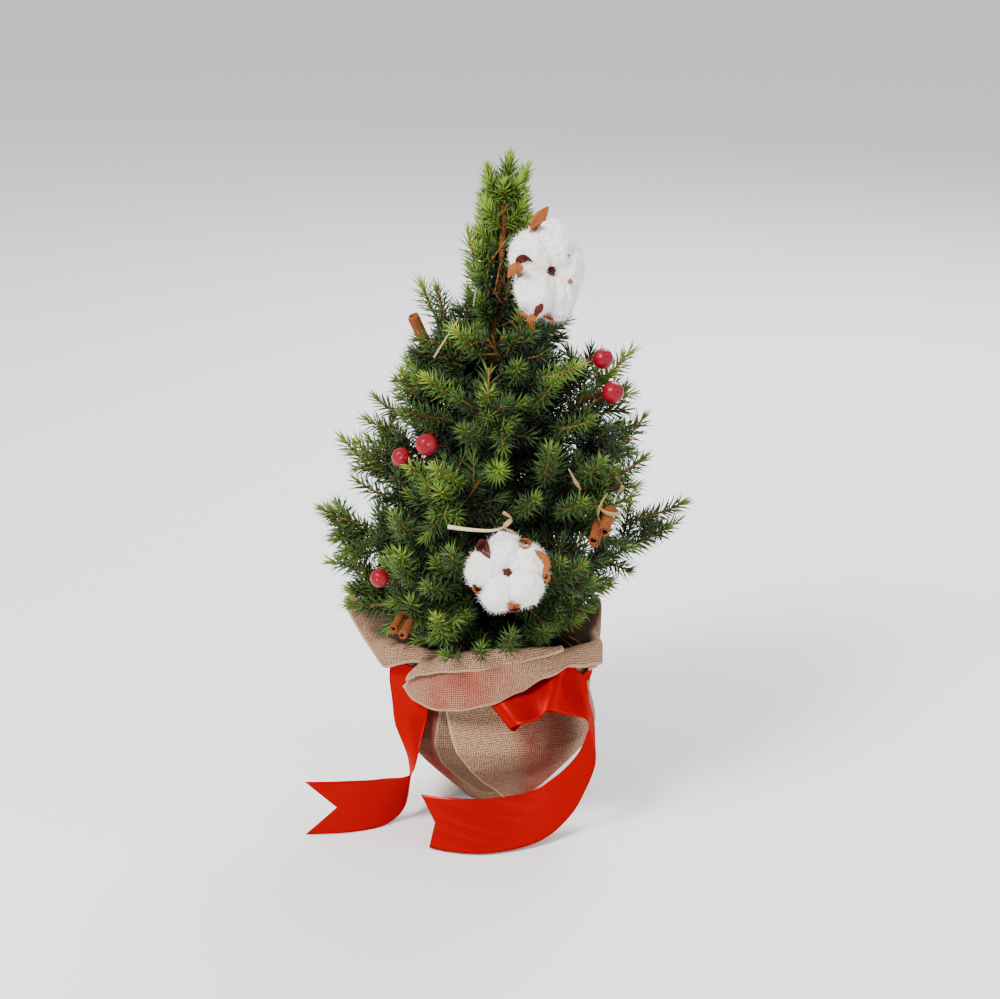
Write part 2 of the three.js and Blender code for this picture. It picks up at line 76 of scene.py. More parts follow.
CENTRE_SHARE = 0.55  # where a mass's centre lies along its stem
SHOOTS = {"high": 5, "leader": 4}  # side shoots of a limb, six on all others
SEED = 2024
GOLDEN_ANGLE = 137.508
SHOOT = {
    "longest": 48,
    "span": 0.8,
    "taper": 0.6,
    "first": 0.1,
    "last": 0.8,
    "root_angle": 56,
    "tip_angle": 38,
}
# Reach of the furthest needles from the crown's middle, and how far right that middle lies, by height
ENVELOPE = [
    [104, 60], [125, 80], [150, 95], [200, 122], [240, 103], [270, 96], [300, 80],
    [318, 62], [332, 42], [346, 27], [370, 22], [400, 21], [420, 18], [436, 12], [452, 5],
]
CROWN_SHIFT = [
    [104, -14], [150, -13], [200, 2], [250, 5], [300, 8], [330, 3], [360, -4], [400, 2], [448, 8],
]


def mix(a, b, share):
    return a + (b - a) * share


def bump(x, centre, width):
    return math.exp(-(((x - centre) / width) ** 2))


def along(pairs, position):
    """The value at a position, or at each of many, from pairs of a position and its value."""
    return np.interp(position, *np.array(pairs, float).T)


def polar(radius, degrees, z):
    turn = math.radians(degrees)
    return np.array([radius * math.sin(turn), -radius * math.cos(turn), z])


def unit(vector):
    return vector / max(np.linalg.norm(vector), 1e-9)


def units(rows):
    return rows / np.linalg.norm(rows, axis=1, keepdims=True)


def turned(side, other, turn):
    """The direction at an angle from side towards other."""
    return side * math.cos(turn) + other * math.sin(turn)


def all_turned(side, other, turns):
    return np.cos(turns)[:, None] * side + np.sin(turns)[:, None] * other


def seeded(seed):
    """The same small generator that the solids grow by."""
    state = seed

    def draw():
        nonlocal state
        state = (state * 1664525 + 1013904223) & 0xFFFFFFFF
        return state / 4294967296

    return draw


UP = np.array([0, 0, 1.0])
STEEP = 0.7  # the rise of a direction from which it counts as steep


def square_to(direction, steep):
    """Two directions square to a direction, so that the three make a right-handed set."""
    side = unit(np.cross(np.array([1.0, 0, 0]) if steep else UP, direction))
    return side, np.cross(side, direction)


# Materials


MIX_INPUTS = {"factor": 0, "from": 6, "to": 7}  # which sockets of a mix of colours are used
MIX_COLOUR = 2


class Tree:
    """A material's nodes, made by short calls that return sockets."""

    def __init__(self, name, colour, roughness, **constants):
        self.material = bpy.data.materials.new(name)
        self.material.use_nodes = True
        self.nodes = self.material.node_tree.nodes
        self.links = self.material.node_tree.links
        self.shader = self.nodes["Principled BSDF"]
        self.shader.inputs["Base Color"].default_value = (*colour, 1)
        self.shader.inputs["Roughness"].default_value = roughness
        for key, value in constants.items():
            self.shader.inputs[key.replace("_", " ")].default_value = value
        self.material.diffuse_color = (*colour, 1)

    def make(self, kind, inputs, **settings):
        node = self.nodes.new(kind)
        for key, value in settings.items():
            setattr(node, key, value)
        for key, value in inputs.items():
            if isinstance(value, bpy.types.NodeSocket):
                self.links.new(value, node.inputs[key])
            else:
                node.inputs[key].default_value = value
        return node

    def math(self, operation, a, b=0.0, c=0.0):
        return self.make("ShaderNodeMath", {0: a, 1: b, 2: c}, operation=operation).outputs[0]

    def times(self, first, *others):
        for other in others:
            first = self.math("MULTIPLY", first, other)
        return first

    def place(self, which="Object"):
        return self.make("ShaderNodeTexCoord", {}).outputs[which]

    def noise(self, vector, scale, detail=2.0, roughness=0.5):
        inputs = {"Vector": vector, "Scale": scale, "Detail": detail, "Roughness": roughness}
        return self.make("ShaderNodeTexNoise", inputs).outputs["Fac"]

    def spread(self, value, low, high, to_low=0.0, to_high=1.0):
        inputs = {"Value": value, "From Min": low, "From Max": high, "To Min": to_low, "To Max": to_high}
        return self.make("ShaderNodeMapRange", inputs).outputs["Result"]

    def parts(self, vector):
        return list(self.make("ShaderNodeSeparateXYZ", {0: vector}).outputs)

    def blend(self, factor, *colours):
        """A colour between two, each of which is a socket or a red, green and blue."""
        inputs = {MIX_INPUTS["factor"]: factor}
        for key, value in zip(("from", "to"), colours):
            inputs[MIX_INPUTS[key]] = value if isinstance(value, bpy.types.NodeSocket) else (*value, 1)
        return self.make("ShaderNodeMix", inputs, data_type="RGBA").outputs[MIX_COLOUR]

    def colour(self, socket):
        self.links.new(socket, self.shader.inputs["Base Color"])

    def relief(self, height, depth):
        node = self.make("ShaderNodeBump", {"Height": height, "Distance": depth * MM})
        self.links.new(node.outputs["Normal"], self.shader.inputs["Normal"])


def needle_material(name, colour):
    tree = Tree(name, colour, 0.48, Specular_IOR_Level=0.3)
    patch = tree.spread(tree.noise(tree.place(), 40, 1), 0.3, 0.7, 0.0, 1.0)
    tree.colour(tree.blend(patch, [c * 0.8 for c in colour], [min(c * 1.22, 1) for c in colour]))
    return tree.material


YOUNG_BARK = (230 * MM, 330 * MM)  # the heights between which a young colour takes over


def bark_material(name, light, dark, scale, young=None):
    """Bark with a grain. Where a young colour is given, it takes over up the trunk."""
    tree = Tree(name, light, 0.8, Specular_IOR_Level=0.25)
    place = tree.place()
    grain = tree.noise(place, scale, 6, 0.62)
    skin = light
    if young:
        height = tree.parts(place)[2]
        skin = tree.blend(tree.spread(height, *YOUNG_BARK), light, young)
    tree.colour(tree.blend(tree.spread(grain, 0.34, 0.64), dark, skin))
    tree.relief(grain, 0.6)
    return tree.material


WEAVE = 1.6  # from thread to thread
WEAVE_DRIFT = (1.6, -1.3)  # by how many threads the weave may drift each way
EDGE_HIGHLIGHT_WIDTH = (1.0, 2.2)  # the painted highlight along the edges is full up to the first, and gone from the second
REFLECTION_FADE = (-30, -8)  # the painted red reflection of the ribbon fades out between these, from front to back
THREAD, PALE_THREAD, DARK_THREAD = (0.33, 0.175, 0.1), (0.53, 0.34, 0.215), (0.05, 0.02, 0.013)
# The ribbon's red light, painted onto the burlap as a painted reflection
REFLECTED_RED = (0.36, 0.05, 0.04)


def burlap_material(name, shade=1.0, hem=True, red=None, patchy=0.0):
    """A plain weave: threads run both ways along the cloth and pass over and under each other by turns. With
    hem, a pale band along the side edges and the start of the sheet is a painted highlight on the rolled
    edge. shade below 1 darkens the whole cloth as painted shade. red gives where from left to right, how
    widely and how strongly the ribbon's red reflection is painted on the front, and patchy how strongly
    random patches of that painted red cover the whole cloth."""
    tree = Tree(name, THREAD, 0.92, Specular_IOR_Level=0.1)
    place = tree.place()
    flat = tree.place("UV")
    wander = tree.noise(flat, 0.1, 2)
    counts, rounds = [], []
    for way, drift in zip(tree.parts(flat), WEAVE_DRIFT):
        counts.append(tree.math("MULTIPLY_ADD", way, 1 / WEAVE, tree.times(wander, drift)))
        rounds.append(tree.math("ABSOLUTE", tree.math("SINE", tree.times(counts[-1], math.pi))))
    cells = tree.math("ADD", *(tree.math("FLOOR", count) for count in counts))
    over = tree.math("GREATER_THAN", tree.math("MODULO", tree.math("ABSOLUTE", cells), 2), 0.5)
    warp_high = tree.times(rounds[0], tree.math("MULTIPLY_ADD", over, 0.5, 0.5))
    weft_high = tree.times(rounds[1], tree.math("MULTIPLY_ADD", over, -0.5, 1.0))
    height = tree.math("MAXIMUM", warp_high, weft_high)
    uneven = tree.noise(flat, 0.5, 3)
    body = tree.blend(tree.spread(uneven, 0.32, 0.66), THREAD, PALE_THREAD)
    # Painted reflection: a mottled band of the ribbon's red on the front of the cloth, fading towards the
    # back
    if red:
        middle, half_width, strength = red
        x, y, _ = tree.parts(place)
        beside = tree.spread(x, (middle - half_width) * MM, (middle - 0.3 * half_width) * MM)
        beyond = tree.spread(x, (middle + 0.3 * half_width) * MM, (middle + half_width) * MM, 1, 0)
        in_front = tree.spread(y, REFLECTION_FADE[0] * MM, REFLECTION_FADE[1] * MM, 1, 0)
        mottled = tree.spread(tree.noise(place, 45, 3), 0.3, 0.6, 0.35, 1)
        body = tree.blend(tree.times(beside, beyond, strength, in_front, mottled), body, REFLECTED_RED)
    # Random patches of the same painted red over the whole cloth
    if patchy:
        patch = tree.spread(tree.noise(place, 24, 2), 0.42, 0.62, 0, patchy)
        body = tree.blend(patch, body, REFLECTED_RED)
    body = tree.blend(tree.spread(height, 0.35, 0.8), DARK_THREAD, body)
    # Painted highlight: a pale band along the side edges and the start of the sheet, where the rolled edge
    # catches light
    if hem:
        from_edges = tree.make("ShaderNodeUVMap", {}, uv_map="edges").outputs[0]
        border = tree.math("MINIMUM", *tree.parts(from_edges)[:2])
        body = tree.blend(tree.spread(border, *EDGE_HIGHLIGHT_WIDTH, 0.8, 0.0), body, PALE_THREAD)
    # Painted shade: below 1, shade blends the whole cloth towards black
    tree.colour(tree.blend(1 - shade, body, (0, 0, 0)))
    tree.relief(tree.math("MULTIPLY_ADD", uneven, 0.6, height), 0.25)
    return tree.material


def satin_material(name):
    """Satin: a deep red with a red sheen, and broad shallow waves that the sheen plays on."""
    tree = Tree(name, (0.32, 0.0, 0.003), 0.3, Metallic=0.42, Specular_IOR_Level=0.0)
    tree.shader.inputs["Specular Tint"].default_value = (1, 0.12, 0.08, 1)
    tree.relief(tree.noise(tree.place("UV"), 0.05, 0), 1.2)
    return tree.material


def plain_material(name, colour, roughness, scale=300, depth=0.15, **constants):
    tree = Tree(name, colour, roughness, **constants)
    grain = tree.noise(tree.place(), scale, 4)
    tree.colour(tree.blend(tree.spread(grain, 0.3, 0.7), [c * 0.82 for c in colour], colour))
    tree.relief(grain, depth)
    return tree.material


BARK = bark_material("bark", (0.17, 0.07, 0.03), (0.05, 0.02, 0.01), 900, (0.34, 0.13, 0.035))
YOUNG_TWIG = bark_material("young_twig", (0.36, 0.145, 0.035), (0.16, 0.06, 0.02), 1500)
OLD_TWIG = bark_material("old_twig", (0.12, 0.055, 0.03), (0.045, 0.022, 0.014), 1200)
# Needle greens from near-black to lime. The darker ones deep in the crown are partly the older needles' own
# green and partly painted shade, the brighter ones at its edge and top are painted light, and lime is the
# young tips.
GREENS = {
    "inner": needle_material("needle_inner", (0.005, 0.011, 0.005)),
    "dark": needle_material("needle_dark", (0.013, 0.028, 0.009)),
    "green": needle_material("needle_green", (0.036, 0.074, 0.014)),
    "bright": needle_material("needle_bright", (0.092, 0.165, 0.02)),
    "lime": needle_material("needle_lime", (0.21, 0.31, 0.03)),
}
# The body and the under layer are darkened as painted shade, the under layer most, as it lies under the flap
BURLAP_BODY = burlap_material("burlap_body", 0.85, False, (-38, 20, 1.0))
BURLAP_FLAP = burlap_material("burlap_flap", 1.0, True, (29, 20, 0.85))
BURLAP_LAYER_SHADED = burlap_material("burlap_layer_shaded", 0.55)
BURLAP_COLLAR = burlap_material("burlap_collar", 1.0, True, (-22, 44, 0.75), 0.2)
BURLAP_FOLD = burlap_material("burlap_fold")
BURLAP_BACK = burlap_material("burlap_back")
SATIN = satin_material("satin")
PLASTIC = plain_material("pot_plastic", (0.02, 0.02, 0.02), 0.55)
SOIL = plain_material("peat", (0.035, 0.02, 0.012), 0.95, 260, 1.5)
COTTON = plain_material("cotton", (0.95, 0.94, 0.91), 0.95, 400, 0.4, Sheen_Weight=0.3)
BRACT = plain_material("bract", (0.3, 0.08, 0.018), 0.6, 350, 0.3, Specular_IOR_Level=0.15)
DARK_BRACT = plain_material("dark_bract", (0.07, 0.008, 0.006), 0.55, 350, 0.3, Specular_IOR_Level=0.15)
BERRY = plain_material("berry", (0.22, 0.0005, 0.011), 0.32, 160, 0.2, Specular_IOR_Level=0.25)
CINNAMON = plain_material("cinnamon", (0.2, 0.058, 0.016), 0.75, 500, 0.3, Specular_IOR_Level=0.15)
STRAW = plain_material("straw", (0.66, 0.55, 0.33), 0.7, 400, 0.2)
STRAW_BROWN = plain_material("straw_brown", (0.38, 0.24, 0.1), 0.7, 400, 0.2)

# Making pieces


def keep(mesh_data, name, slot, material, replaced=()):
    """Puts a finished mesh into the scene as a piece of the plant."""
    piece = bpy.data.objects.new(name, mesh_data)
    bpy.context.scene.collection.objects.link(piece)
    mesh_data.materials.append(material)
    mesh_data.polygons.foreach_set("use_smooth", [True] * len(mesh_data.polygons))
    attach(piece, "root")
    if replaced:
        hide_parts(*replaced)
    return piece


def finish_bmesh(mesh, name):
    data = bpy.data.meshes.new(name)
    mesh.to_mesh(data)
    mesh.free()
    return data


def sheet_bmesh(mesh, place, across, lengthwise, closed=False):
    """A grid bent onto place(s, t), for s and t from 0 to 1. Its UVs are millimetres along the cloth, from
    its middle and from t = 0. A second set tells how far each spot is from the side edges and from t = 0."""
    columns = [[place(i / across, j / lengthwise) for j in range(lengthwise + 1)] for i in range(across + 1)]
    points = np.array(columns)
    left = np.zeros((across + 1, lengthwise + 1))
    left[1:] = np.cumsum(np.linalg.norm(np.diff(points, axis=0), axis=2), axis=0)
    up = np.zeros((across + 1, lengthwise + 1))
    up[:, 1:] = np.cumsum(np.linalg.norm(np.diff(points, axis=1), axis=2), axis=1)
    from_middle = left - left[-1] / 2
    from_edge = np.minimum(left, left[-1] - left)
    mesh.loops.layers.uv.verify()
    edges = mesh.loops.layers.uv.new("edges")
    flat = mesh.loops.layers.uv[0]
    made = bmesh.ops.create_grid(mesh, x_segments=across, y_segments=lengthwise, size=0.5)
    verts = made["verts"]
    for face in {face for vert in verts for face in vert.link_faces}:
        for loop in face.loops:
            spot = round((loop.vert.co.x + 0.5) * across), round((loop.vert.co.y + 0.5) * lengthwise)
            loop[flat].uv = (from_middle[spot], up[spot])
            loop[edges].uv = (from_edge[spot], up[spot])
    for vert in verts:
        spot = round((vert.co.x + 0.5) * across), round((vert.co.y + 0.5) * lengthwise)
        vert.co = Vector(points[spot]) * MM
    if closed:
        bmesh.ops.remove_doubles(mesh, verts=verts, dist=1e-6)


def sheet(name, place, across, lengthwise, thickness, slot, material, replaced=(), closed=False):
    """A piece made of one sheet with a thickness."""
    mesh = bmesh.new()
    sheet_bmesh(mesh, place, across, lengthwise, closed)
    bmesh.ops.recalc_face_normals(mesh, faces=mesh.faces)
    piece = keep(finish_bmesh(mesh, name), name, slot, material, replaced)
    thick = piece.modifiers.new("thickness", "SOLIDIFY")
    thick.thickness = thickness * MM
    thick.offset = 0


def rod_bmesh(mesh, middle, radius, end, corners, steps):
    """A round rod along middle(share), from 0 to the end, with its radius given by radius(share, angle)."""
    before = len(mesh.verts)
    made = bmesh.ops.create_cone(mesh, cap_ends=True, segments=corners, radius1=1, radius2=1, depth=1)
    ring_edges = {
        edge
        for vert in made["verts"]
        for edge in vert.link_edges
        if abs(edge.verts[0].co.z - edge.verts[1].co.z) > 0.5
    }
    bmesh.ops.subdivide_edges(mesh, edges=list(ring_edges), cuts=steps - 1)
    mesh.verts.ensure_lookup_table()
    connected = mesh.verts[before:]
    steep = abs(unit(middle(end) - middle(0))[2]) > STEEP
    step = 0.004
    for vert in connected:
        share = vert.co.z + 0.5
        turn = math.atan2(vert.co.y, vert.co.x)
        place = end * share
        tangent = unit(middle(min(place + step, 1)) - middle(max(place - step, 0)))
        side, other = square_to(tangent, steep)
        out = turned(side, -other, turn)
        vert.co = Vector(middle(place) + out * radius(share, turn)) * MM


def joined_piece(name, batches, slot, material, replaced=(), limit=190000):
    """Joins (vertices, triangles) batches into as few pieces as keep under the limit of triangles."""
    groups = [[]]
    count = 0
    for vertices, triangles in batches:
        if count + len(triangles) > limit:
            groups.append([])
            count = 0
        groups[-1].append((vertices, triangles))
        count += len(triangles)
    for index, group in enumerate(groups):
        offsets = np.cumsum([0] + [len(vertices) for vertices, _ in group])
        points = np.concatenate([vertices for vertices, _ in group]) * MM
        faces = np.concatenate([triangles + offset for (_, triangles), offset in zip(group, offsets)])
        label = name if len(groups) == 1 else f"{name}_{index + 1}"
        data = bpy.data.meshes.new(label)
        data.from_pydata(points.tolist(), [], faces.tolist())
        data.update()
        keep(data, label, slot, material, replaced if index == 0 else ())


# The plant's frame of limbs, by the rule that the solids grow by


def trunk_middle(z):
    turn = math.pi * (z - SOIL_HEIGHT) / TRUNK["bow_length"]
    return np.array([-TRUNK["bow"] * math.sin(turn), TRUNK["bow_back"] * math.sin(turn / 2), z])


class Curve:
    """A quadratic curve from a start over a control point to a tip."""

    def __init__(self, start, control, tip):
        self.points = (np.array(start, float), np.array(control, float), np.array(tip, float))
        samples = np.array([self.at(share) for share in np.linspace(0, 1, 60)])
        self.length = float(np.linalg.norm(np.diff(samples, axis=0), axis=1).sum())
        self.steep = abs(self.tangent(0.5)[2]) > STEEP

    def at(self, share):
        a, b, c = self.points
        return (1 - share) ** 2 * a + 2 * share * (1 - share) * b + share**2 * c

    def heading(self, share):
        a, b, c = self.points
        return (1 - share) * (b - a) + share * (c - b)

    def tangent(self, share):
        return unit(self.heading(share))


def limb_curve(tier, index, draw):
    """One limb from the trunk to the edge of the crown: it sags a little and turns up to its tip."""
    degrees = tier["turn"] + 360 / tier["count"] * index + (draw() - 0.5) * VARIETY["angle"]
    furthest = tier["reach"] * (VARIETY["least"] + VARIETY["reach"] * draw())
    start = trunk_middle(tier["from"] + VARIETY["from"] * draw())
    height = tier["tip"] + VARIETY["tip"] * (draw() - 0.5)
    tip = polar(furthest - TIP_NEEDLES["beyond"], degrees, height - TIP_NEEDLES["above"])
    tip[0] += tier["shift"]
    control = (start + tip) / 2
    control[2] -= SAG * tier["reach"]
    return Curve(start, control, tip)


def plan_limbs():
    """Every limb with the start of its foliage and the centre of the space that its mass of foliage owns."""
    made = []
    for level, tier in enumerate(TIERS):
        for index in range(tier["count"]):
            draw = seeded(SEED + 97 * level + 13 * index)
            curve = limb_curve(tier, index, draw)
            made.append({"tier": tier, "name": f"{tier['name']}_{index + 1}", "curve": curve, "draw": draw})
    low, high = trunk_middle(TRUNK["top"]), trunk_middle(TIP_HEIGHT - TIP_NEEDLES["leader"])
    leader = Curve(low, (low + high) / 2, high)
    made.append({"tier": LEADER, "name": "leader", "curve": leader, "draw": seeded(SEED + 999)})
    for limb in made:
        bare = limb["tier"]["bare"]
        limb["centre"] = limb["curve"].at(mix(bare, 1, CENTRE_SHARE))
        on_trunk = not bare and limb["tier"] is not LEADER
        limb["start"] = 0 if on_trunk else bare + CLEAR / limb["curve"].length
    return made


LIMBS = plan_limbs()


def in_space(point, own, margin):
    """Whether a point is nearer to a limb's own centre than to any other's, or past the border by less than
    the margin."""
    for other in LIMBS:
        if other is own:
            continue
        apart = np.linalg.norm(own["centre"] - other["centre"])
        lead = np.sum((point - other["centre"]) ** 2) - np.sum((point - own["centre"]) ** 2)
        if lead / (2 * apart) < -margin:
            return False
    return True


# Trunk and boughs, with the bark's relief


def pegs(turn, place, count, pitch):
    """The small pegs that fallen needles leave on a spruce's bark, in a spiral lattice."""
    return max(0, math.cos(count * turn + place / pitch)) * max(0, math.cos(count * turn - place / pitch))


RIDGES, TRUNK_PEGS, BOUGH_PEGS = 0.45, 0.55, 0.35  # heights of the bark's relief


def add_bark():
    mesh = bmesh.new()
    foot = SOIL_HEIGHT + CLEAR
    height = TRUNK["top"] - foot

    def trunk_radius(share, turn):
        z = foot + height * share
        plain = mix(TRUNK["base_radius"], TRUNK["tip_radius"], share**TRUNK_TAPER)
        wave = math.cos(FLARE["lobes"] * turn)
        flare = FLARE["depth"] * mix(1, wave, FLARE["lobe_share"]) * math.exp((foot - z) / FLARE["height"])
        at = Vector((math.cos(turn) * 2, math.sin(turn) * 2, z / 9))
        ridges = RIDGES * noise.fractal(at, 1, 2, 3)
        return plain + flare + ridges + TRUNK_PEGS * pegs(turn, z, 4, 1.6)

    rod_bmesh(mesh, lambda share: trunk_middle(foot + height * share), trunk_radius, 1, 20, 150)
    for limb in LIMBS:
        tier, curve = limb["tier"], limb["curve"]
        if not tier["bare"]:
            continue
        root = BOUGH["root"] + BOUGH["per_reach"] * tier["reach"]

        def bough_radius(share, turn, root=root, length=curve.length * tier["bare"]):
            return mix(root, BOUGH["tip"], share) + BOUGH_PEGS * pegs(turn, share * length, 3, 1.5)

        rod_bmesh(mesh, curve.at, bough_radius, tier["bare"], 10, 18)
    replaced = [name for name in nodes if name.startswith("bough")] + ["trunk"]
    keep(finish_bmesh(mesh, "bark"), "bark", "bark", BARK, replaced)


add_bark()

# Twigs and needles

NEEDLE_CORNERS = [math.radians(degrees) for degrees in (90, 210, 330)]
# The rings of a needle: how far along it, how thick and how far bowed, as shares of its length and radius
NEEDLE_RINGS = [(0, 0.6, 0), (0.5, 1, 0.035)]


def needles(roots, directions, uppers, lengths, radius):
    """Slim three-sided needles, one for each row: a narrow foot, a body that bows a little, a pointed tip."""
    across = units(np.cross(directions, uppers))
    upper = np.cross(across, directions)
    lengths = lengths[:, None]
    rings = []
    for share, size, bow in NEEDLE_RINGS:
        middle = roots + directions * lengths * share + upper * lengths * bow
        for turn in NEEDLE_CORNERS:
            rings.append(middle + (upper * math.sin(turn) + across * math.cos(turn)) * radius * size)
    tips = roots + directions * lengths + upper * lengths * 0.02
    vertices = np.stack([*rings, tips], axis=1)
    pattern = []
    for i in range(3):
        j = (i + 1) % 3
        pattern += [[i, j, 3 + j], [i, 3 + j, 3 + i], [3 + i, 3 + j, 6]]
    pattern = np.array(pattern)
    faces = pattern[None] + (np.arange(len(roots)) * 7)[:, None, None]
    return vertices.reshape(-1, 3), faces.reshape(-1, 3)


def rod(points, radii, corners=4):
    """A slim rod through a few points, closed at its tip."""
    points = np.array(points, float)
    overall = unit(points[-1] - points[0])
    side, other = square_to(overall, abs(overall[2]) > STEEP)
    turns = np.arange(corners) * 2 * math.pi / corners
    ring = all_turned(side, other, turns)
    vertices = (points[:, None] + ring[None] * np.array(radii)[:, None, None]).reshape(-1, 3)
    faces = []
    for level in range(len(points) - 1):
        for i in range(corners):
            a, b = level * corners + i, level * corners + (i + 1) % corners
            faces += [[a, a + corners, b], [b, a + corners, b + corners]]
    last = len(vertices)
    vertices = np.concatenate([vertices, points[-1:] + overall * radii[-1]])
    top = last - corners
    faces += [[top + i, last, top + (i + 1) % corners] for i in range(corners)]
    return vertices, np.array(faces)


# The decorations, which the needles keep clear of: a centre, a radius and the way that each one faces. A
# boll's stretch is how wide and how high it is for its radius.
LOWER_BOLL = {
    "centre": (6.5, -108, 196.5),
    "faces": (0.0, -0.93, 0.36),
    "size": 26.5,
    "stretch": (1.02, 0.98),
}
UPPER_BOLL = {
    "centre": (32, -26, 371.5),
    "faces": (0.5, -0.84, 0.2),
    "size": 28.5,
    "stretch": (0.95, 1.22),
}
BERRIES = [
    {"centre": (68, -38, 317), "faces": (0.3, -0.9, 0.3), "size": 6.6},
    {"centre": (74, -52, 298.5), "faces": (0.4, -0.9, 0.1), "size": 7},
    {"centre": (-44, -86, 274), "faces": (-0.1, -0.97, 0.2), "size": 7},
    {"centre": (-60.5, -72, 261.5), "faces": (-0.3, -0.9, 0.2), "size": 6.2},
    {"centre": (-74.7, -88, 186), "faces": (-0.4, -0.9, 0.1), "size": 6},
]
# Cinnamon quills: their ends, radius, number of turns that the bark is rolled up by, and where it starts
QUILLS = [
    {"from": (61, -103, 216), "to": (65, -78, 221), "radius": 4, "rolls": 1.7, "turn": 40},
    {"from": (67.5, -99, 220.5), "to": (72, -74, 227), "radius": 3.9, "rolls": 1.6, "turn": 200},
    {"from": (-54.5, -8, 338), "to": (-46, -4, 318), "radius": 3.9, "rolls": 1.7, "turn": 120},
    {"from": (-58, -58, 156), "to": (-66.5, -87, 150.5), "radius": 3, "rolls": 1.6, "turn": 10},
    {"from": (-52, -60, 152), "to": (-60.5, -89, 147), "radius": 3, "rolls": 1.7, "turn": 190},
]

# Height of the collar's top, by angle
COLLAR_TOP = [
    [0, 130], [30, 128], [50, 123], [80, 117], [100, 118], [116, 124], [135, 117], [230, 117], [255, 124],
    [275, 120], [300, 121], [315, 122], [335, 128], [360, 130],
]
COLLAR_SPACE = {"inner": 55, "outer": 84, "spare": 2}  # its radii, and the room above it
BACK_CORNERS = {"inner": 76, "top": 133, "behind": 8, "beside": 55}  # the space of the cloth's back corners
LOWEST = {"inside": 104, "outside": 124}  # heights that needles keep above, inside the collar and outside it

TRUNK_WINDOWS = [(288, 336), (347, 412)]  # the heights at which the trunk shows between the front boughs
WINDOW_WIDTH = 3.4  # on each side of the trunk's middle
VIEW_FALL = 0.325  # how much lower a line of sight meets the trunk, for each mm that it comes from in front


def before_trunk(points):
    """True for each point that hides a part of the trunk which shows from the front."""
    x, y, z = points.T
    seen_at = z + y * VIEW_FALL
    beside = np.abs(x + TRUNK["bow"] * np.sin(math.pi * (seen_at - SOIL_HEIGHT) / TRUNK["bow_length"]))
    shown = np.zeros(len(points), bool)
    for low, high in TRUNK_WINDOWS:
        shown |= (seen_at > low) & (seen_at < high)
    return shown & (beside < WINDOW_WIDTH) & (y < 1)


# The space round a decoration and in front of it, as shares of its radius, the room round a quill, and the
# share of a quill from which it may have needles round it
TRIM_SPACE = {"round": 0.94, "ahead": 0.86, "quill": 0.6, "quill_end": 0.7}


def away_from_trimmings(points, spare):
    """True for each point that lies outside the decorations and outside the space they are seen through."""
    clear = np.ones(len(points), bool)
    for thing in [LOWER_BOLL, UPPER_BOLL, *BERRIES]:
        offset = points - np.array(thing["centre"])
        facing = unit(np.array(thing["faces"], float))
        ahead = offset @ facing
        beside = np.linalg.norm(offset - ahead[:, None] * facing, axis=1)
        clear &= np.linalg.norm(offset, axis=1) > thing["size"] * TRIM_SPACE["round"] + spare
        clear &= (beside > thing["size"] * TRIM_SPACE["ahead"] + spare) | (ahead < 0)
    for quill in QUILLS:
        low, high = np.array(quill["from"], float), np.array(quill["to"], float)
        share = np.clip((points - low) @ (high - low) / np.sum((high - low) ** 2), 0, 1)
        gap = np.linalg.norm(points - (low + share[:, None] * (high - low)), axis=1)
        clear &= (gap > quill["radius"] + TRIM_SPACE["quill"] + spare) | (share > TRIM_SPACE["quill_end"])
    return clear


def across_crown(points):
    """How far points lie from the crown's middle line, which leans from side to side."""
    return np.hypot(points[..., 0] - along(CROWN_SHIFT, points[..., 2]), points[..., 1])


def clear_of_cloth(points):
    """True for each point that lies above the soil and off the collar."""
    x, y, z = points.T
    radius = np.hypot(x, y)
    top = along(COLLAR_TOP, np.degrees(np.arctan2(x, -y)) % 360)
    inside = radius < COLLAR_SPACE["inner"]
    on_collar = ~inside & (radius < COLLAR_SPACE["outer"]) & (z < top + COLLAR_SPACE["spare"])
    at_back = (y > BACK_CORNERS["behind"]) & (np.abs(x) > BACK_CORNERS["beside"])
    in_corner = at_back & (radius >= BACK_CORNERS["inner"]) & (z < BACK_CORNERS["top"])
    return (z > np.where(inside, LOWEST["inside"], LOWEST["outside"])) & ~on_collar & ~in_corner


def reach_at(z):
    return along(ENVELOPE, z)


sprays = {name: [] for name in GREENS}
young_twigs, old_twigs = [], []
random = np.random.default_rng(SEED)
ORDER = list(GREENS)
ANY_TURN = (0, 6.28)
NEEDLE = {
    "length": 13,
    "radius": 0.55,
    "per_mm": 2.1,
    "fewest": 10,
    "tuft": 9,  # how far the tuft reaches back from a shoot's tip
    "tuft_share": 0.82,  # and how long its needles are
    "pale_from": 0.35,  # where in the tuft the paler green starts
    "closing": 0.7,  # how far the tuft closes to the front
    "foot": 8,  # how far the shorter needles reach up from a shoot's foot
    "foot_share": 0.8,
    "variety": (0.82, 1.08),
    "wander": 7,
}
WIDE, UPRIGHT = (64, 46), (50, 32)  # how far needles stand off their twig, at its foot and near its tip
OVER_EDGE = 5  # how far needles may pass the crown's outline
STRAY = 0.12  # the share of needles that stay before the trunk
TWIG_TIP = 0.55


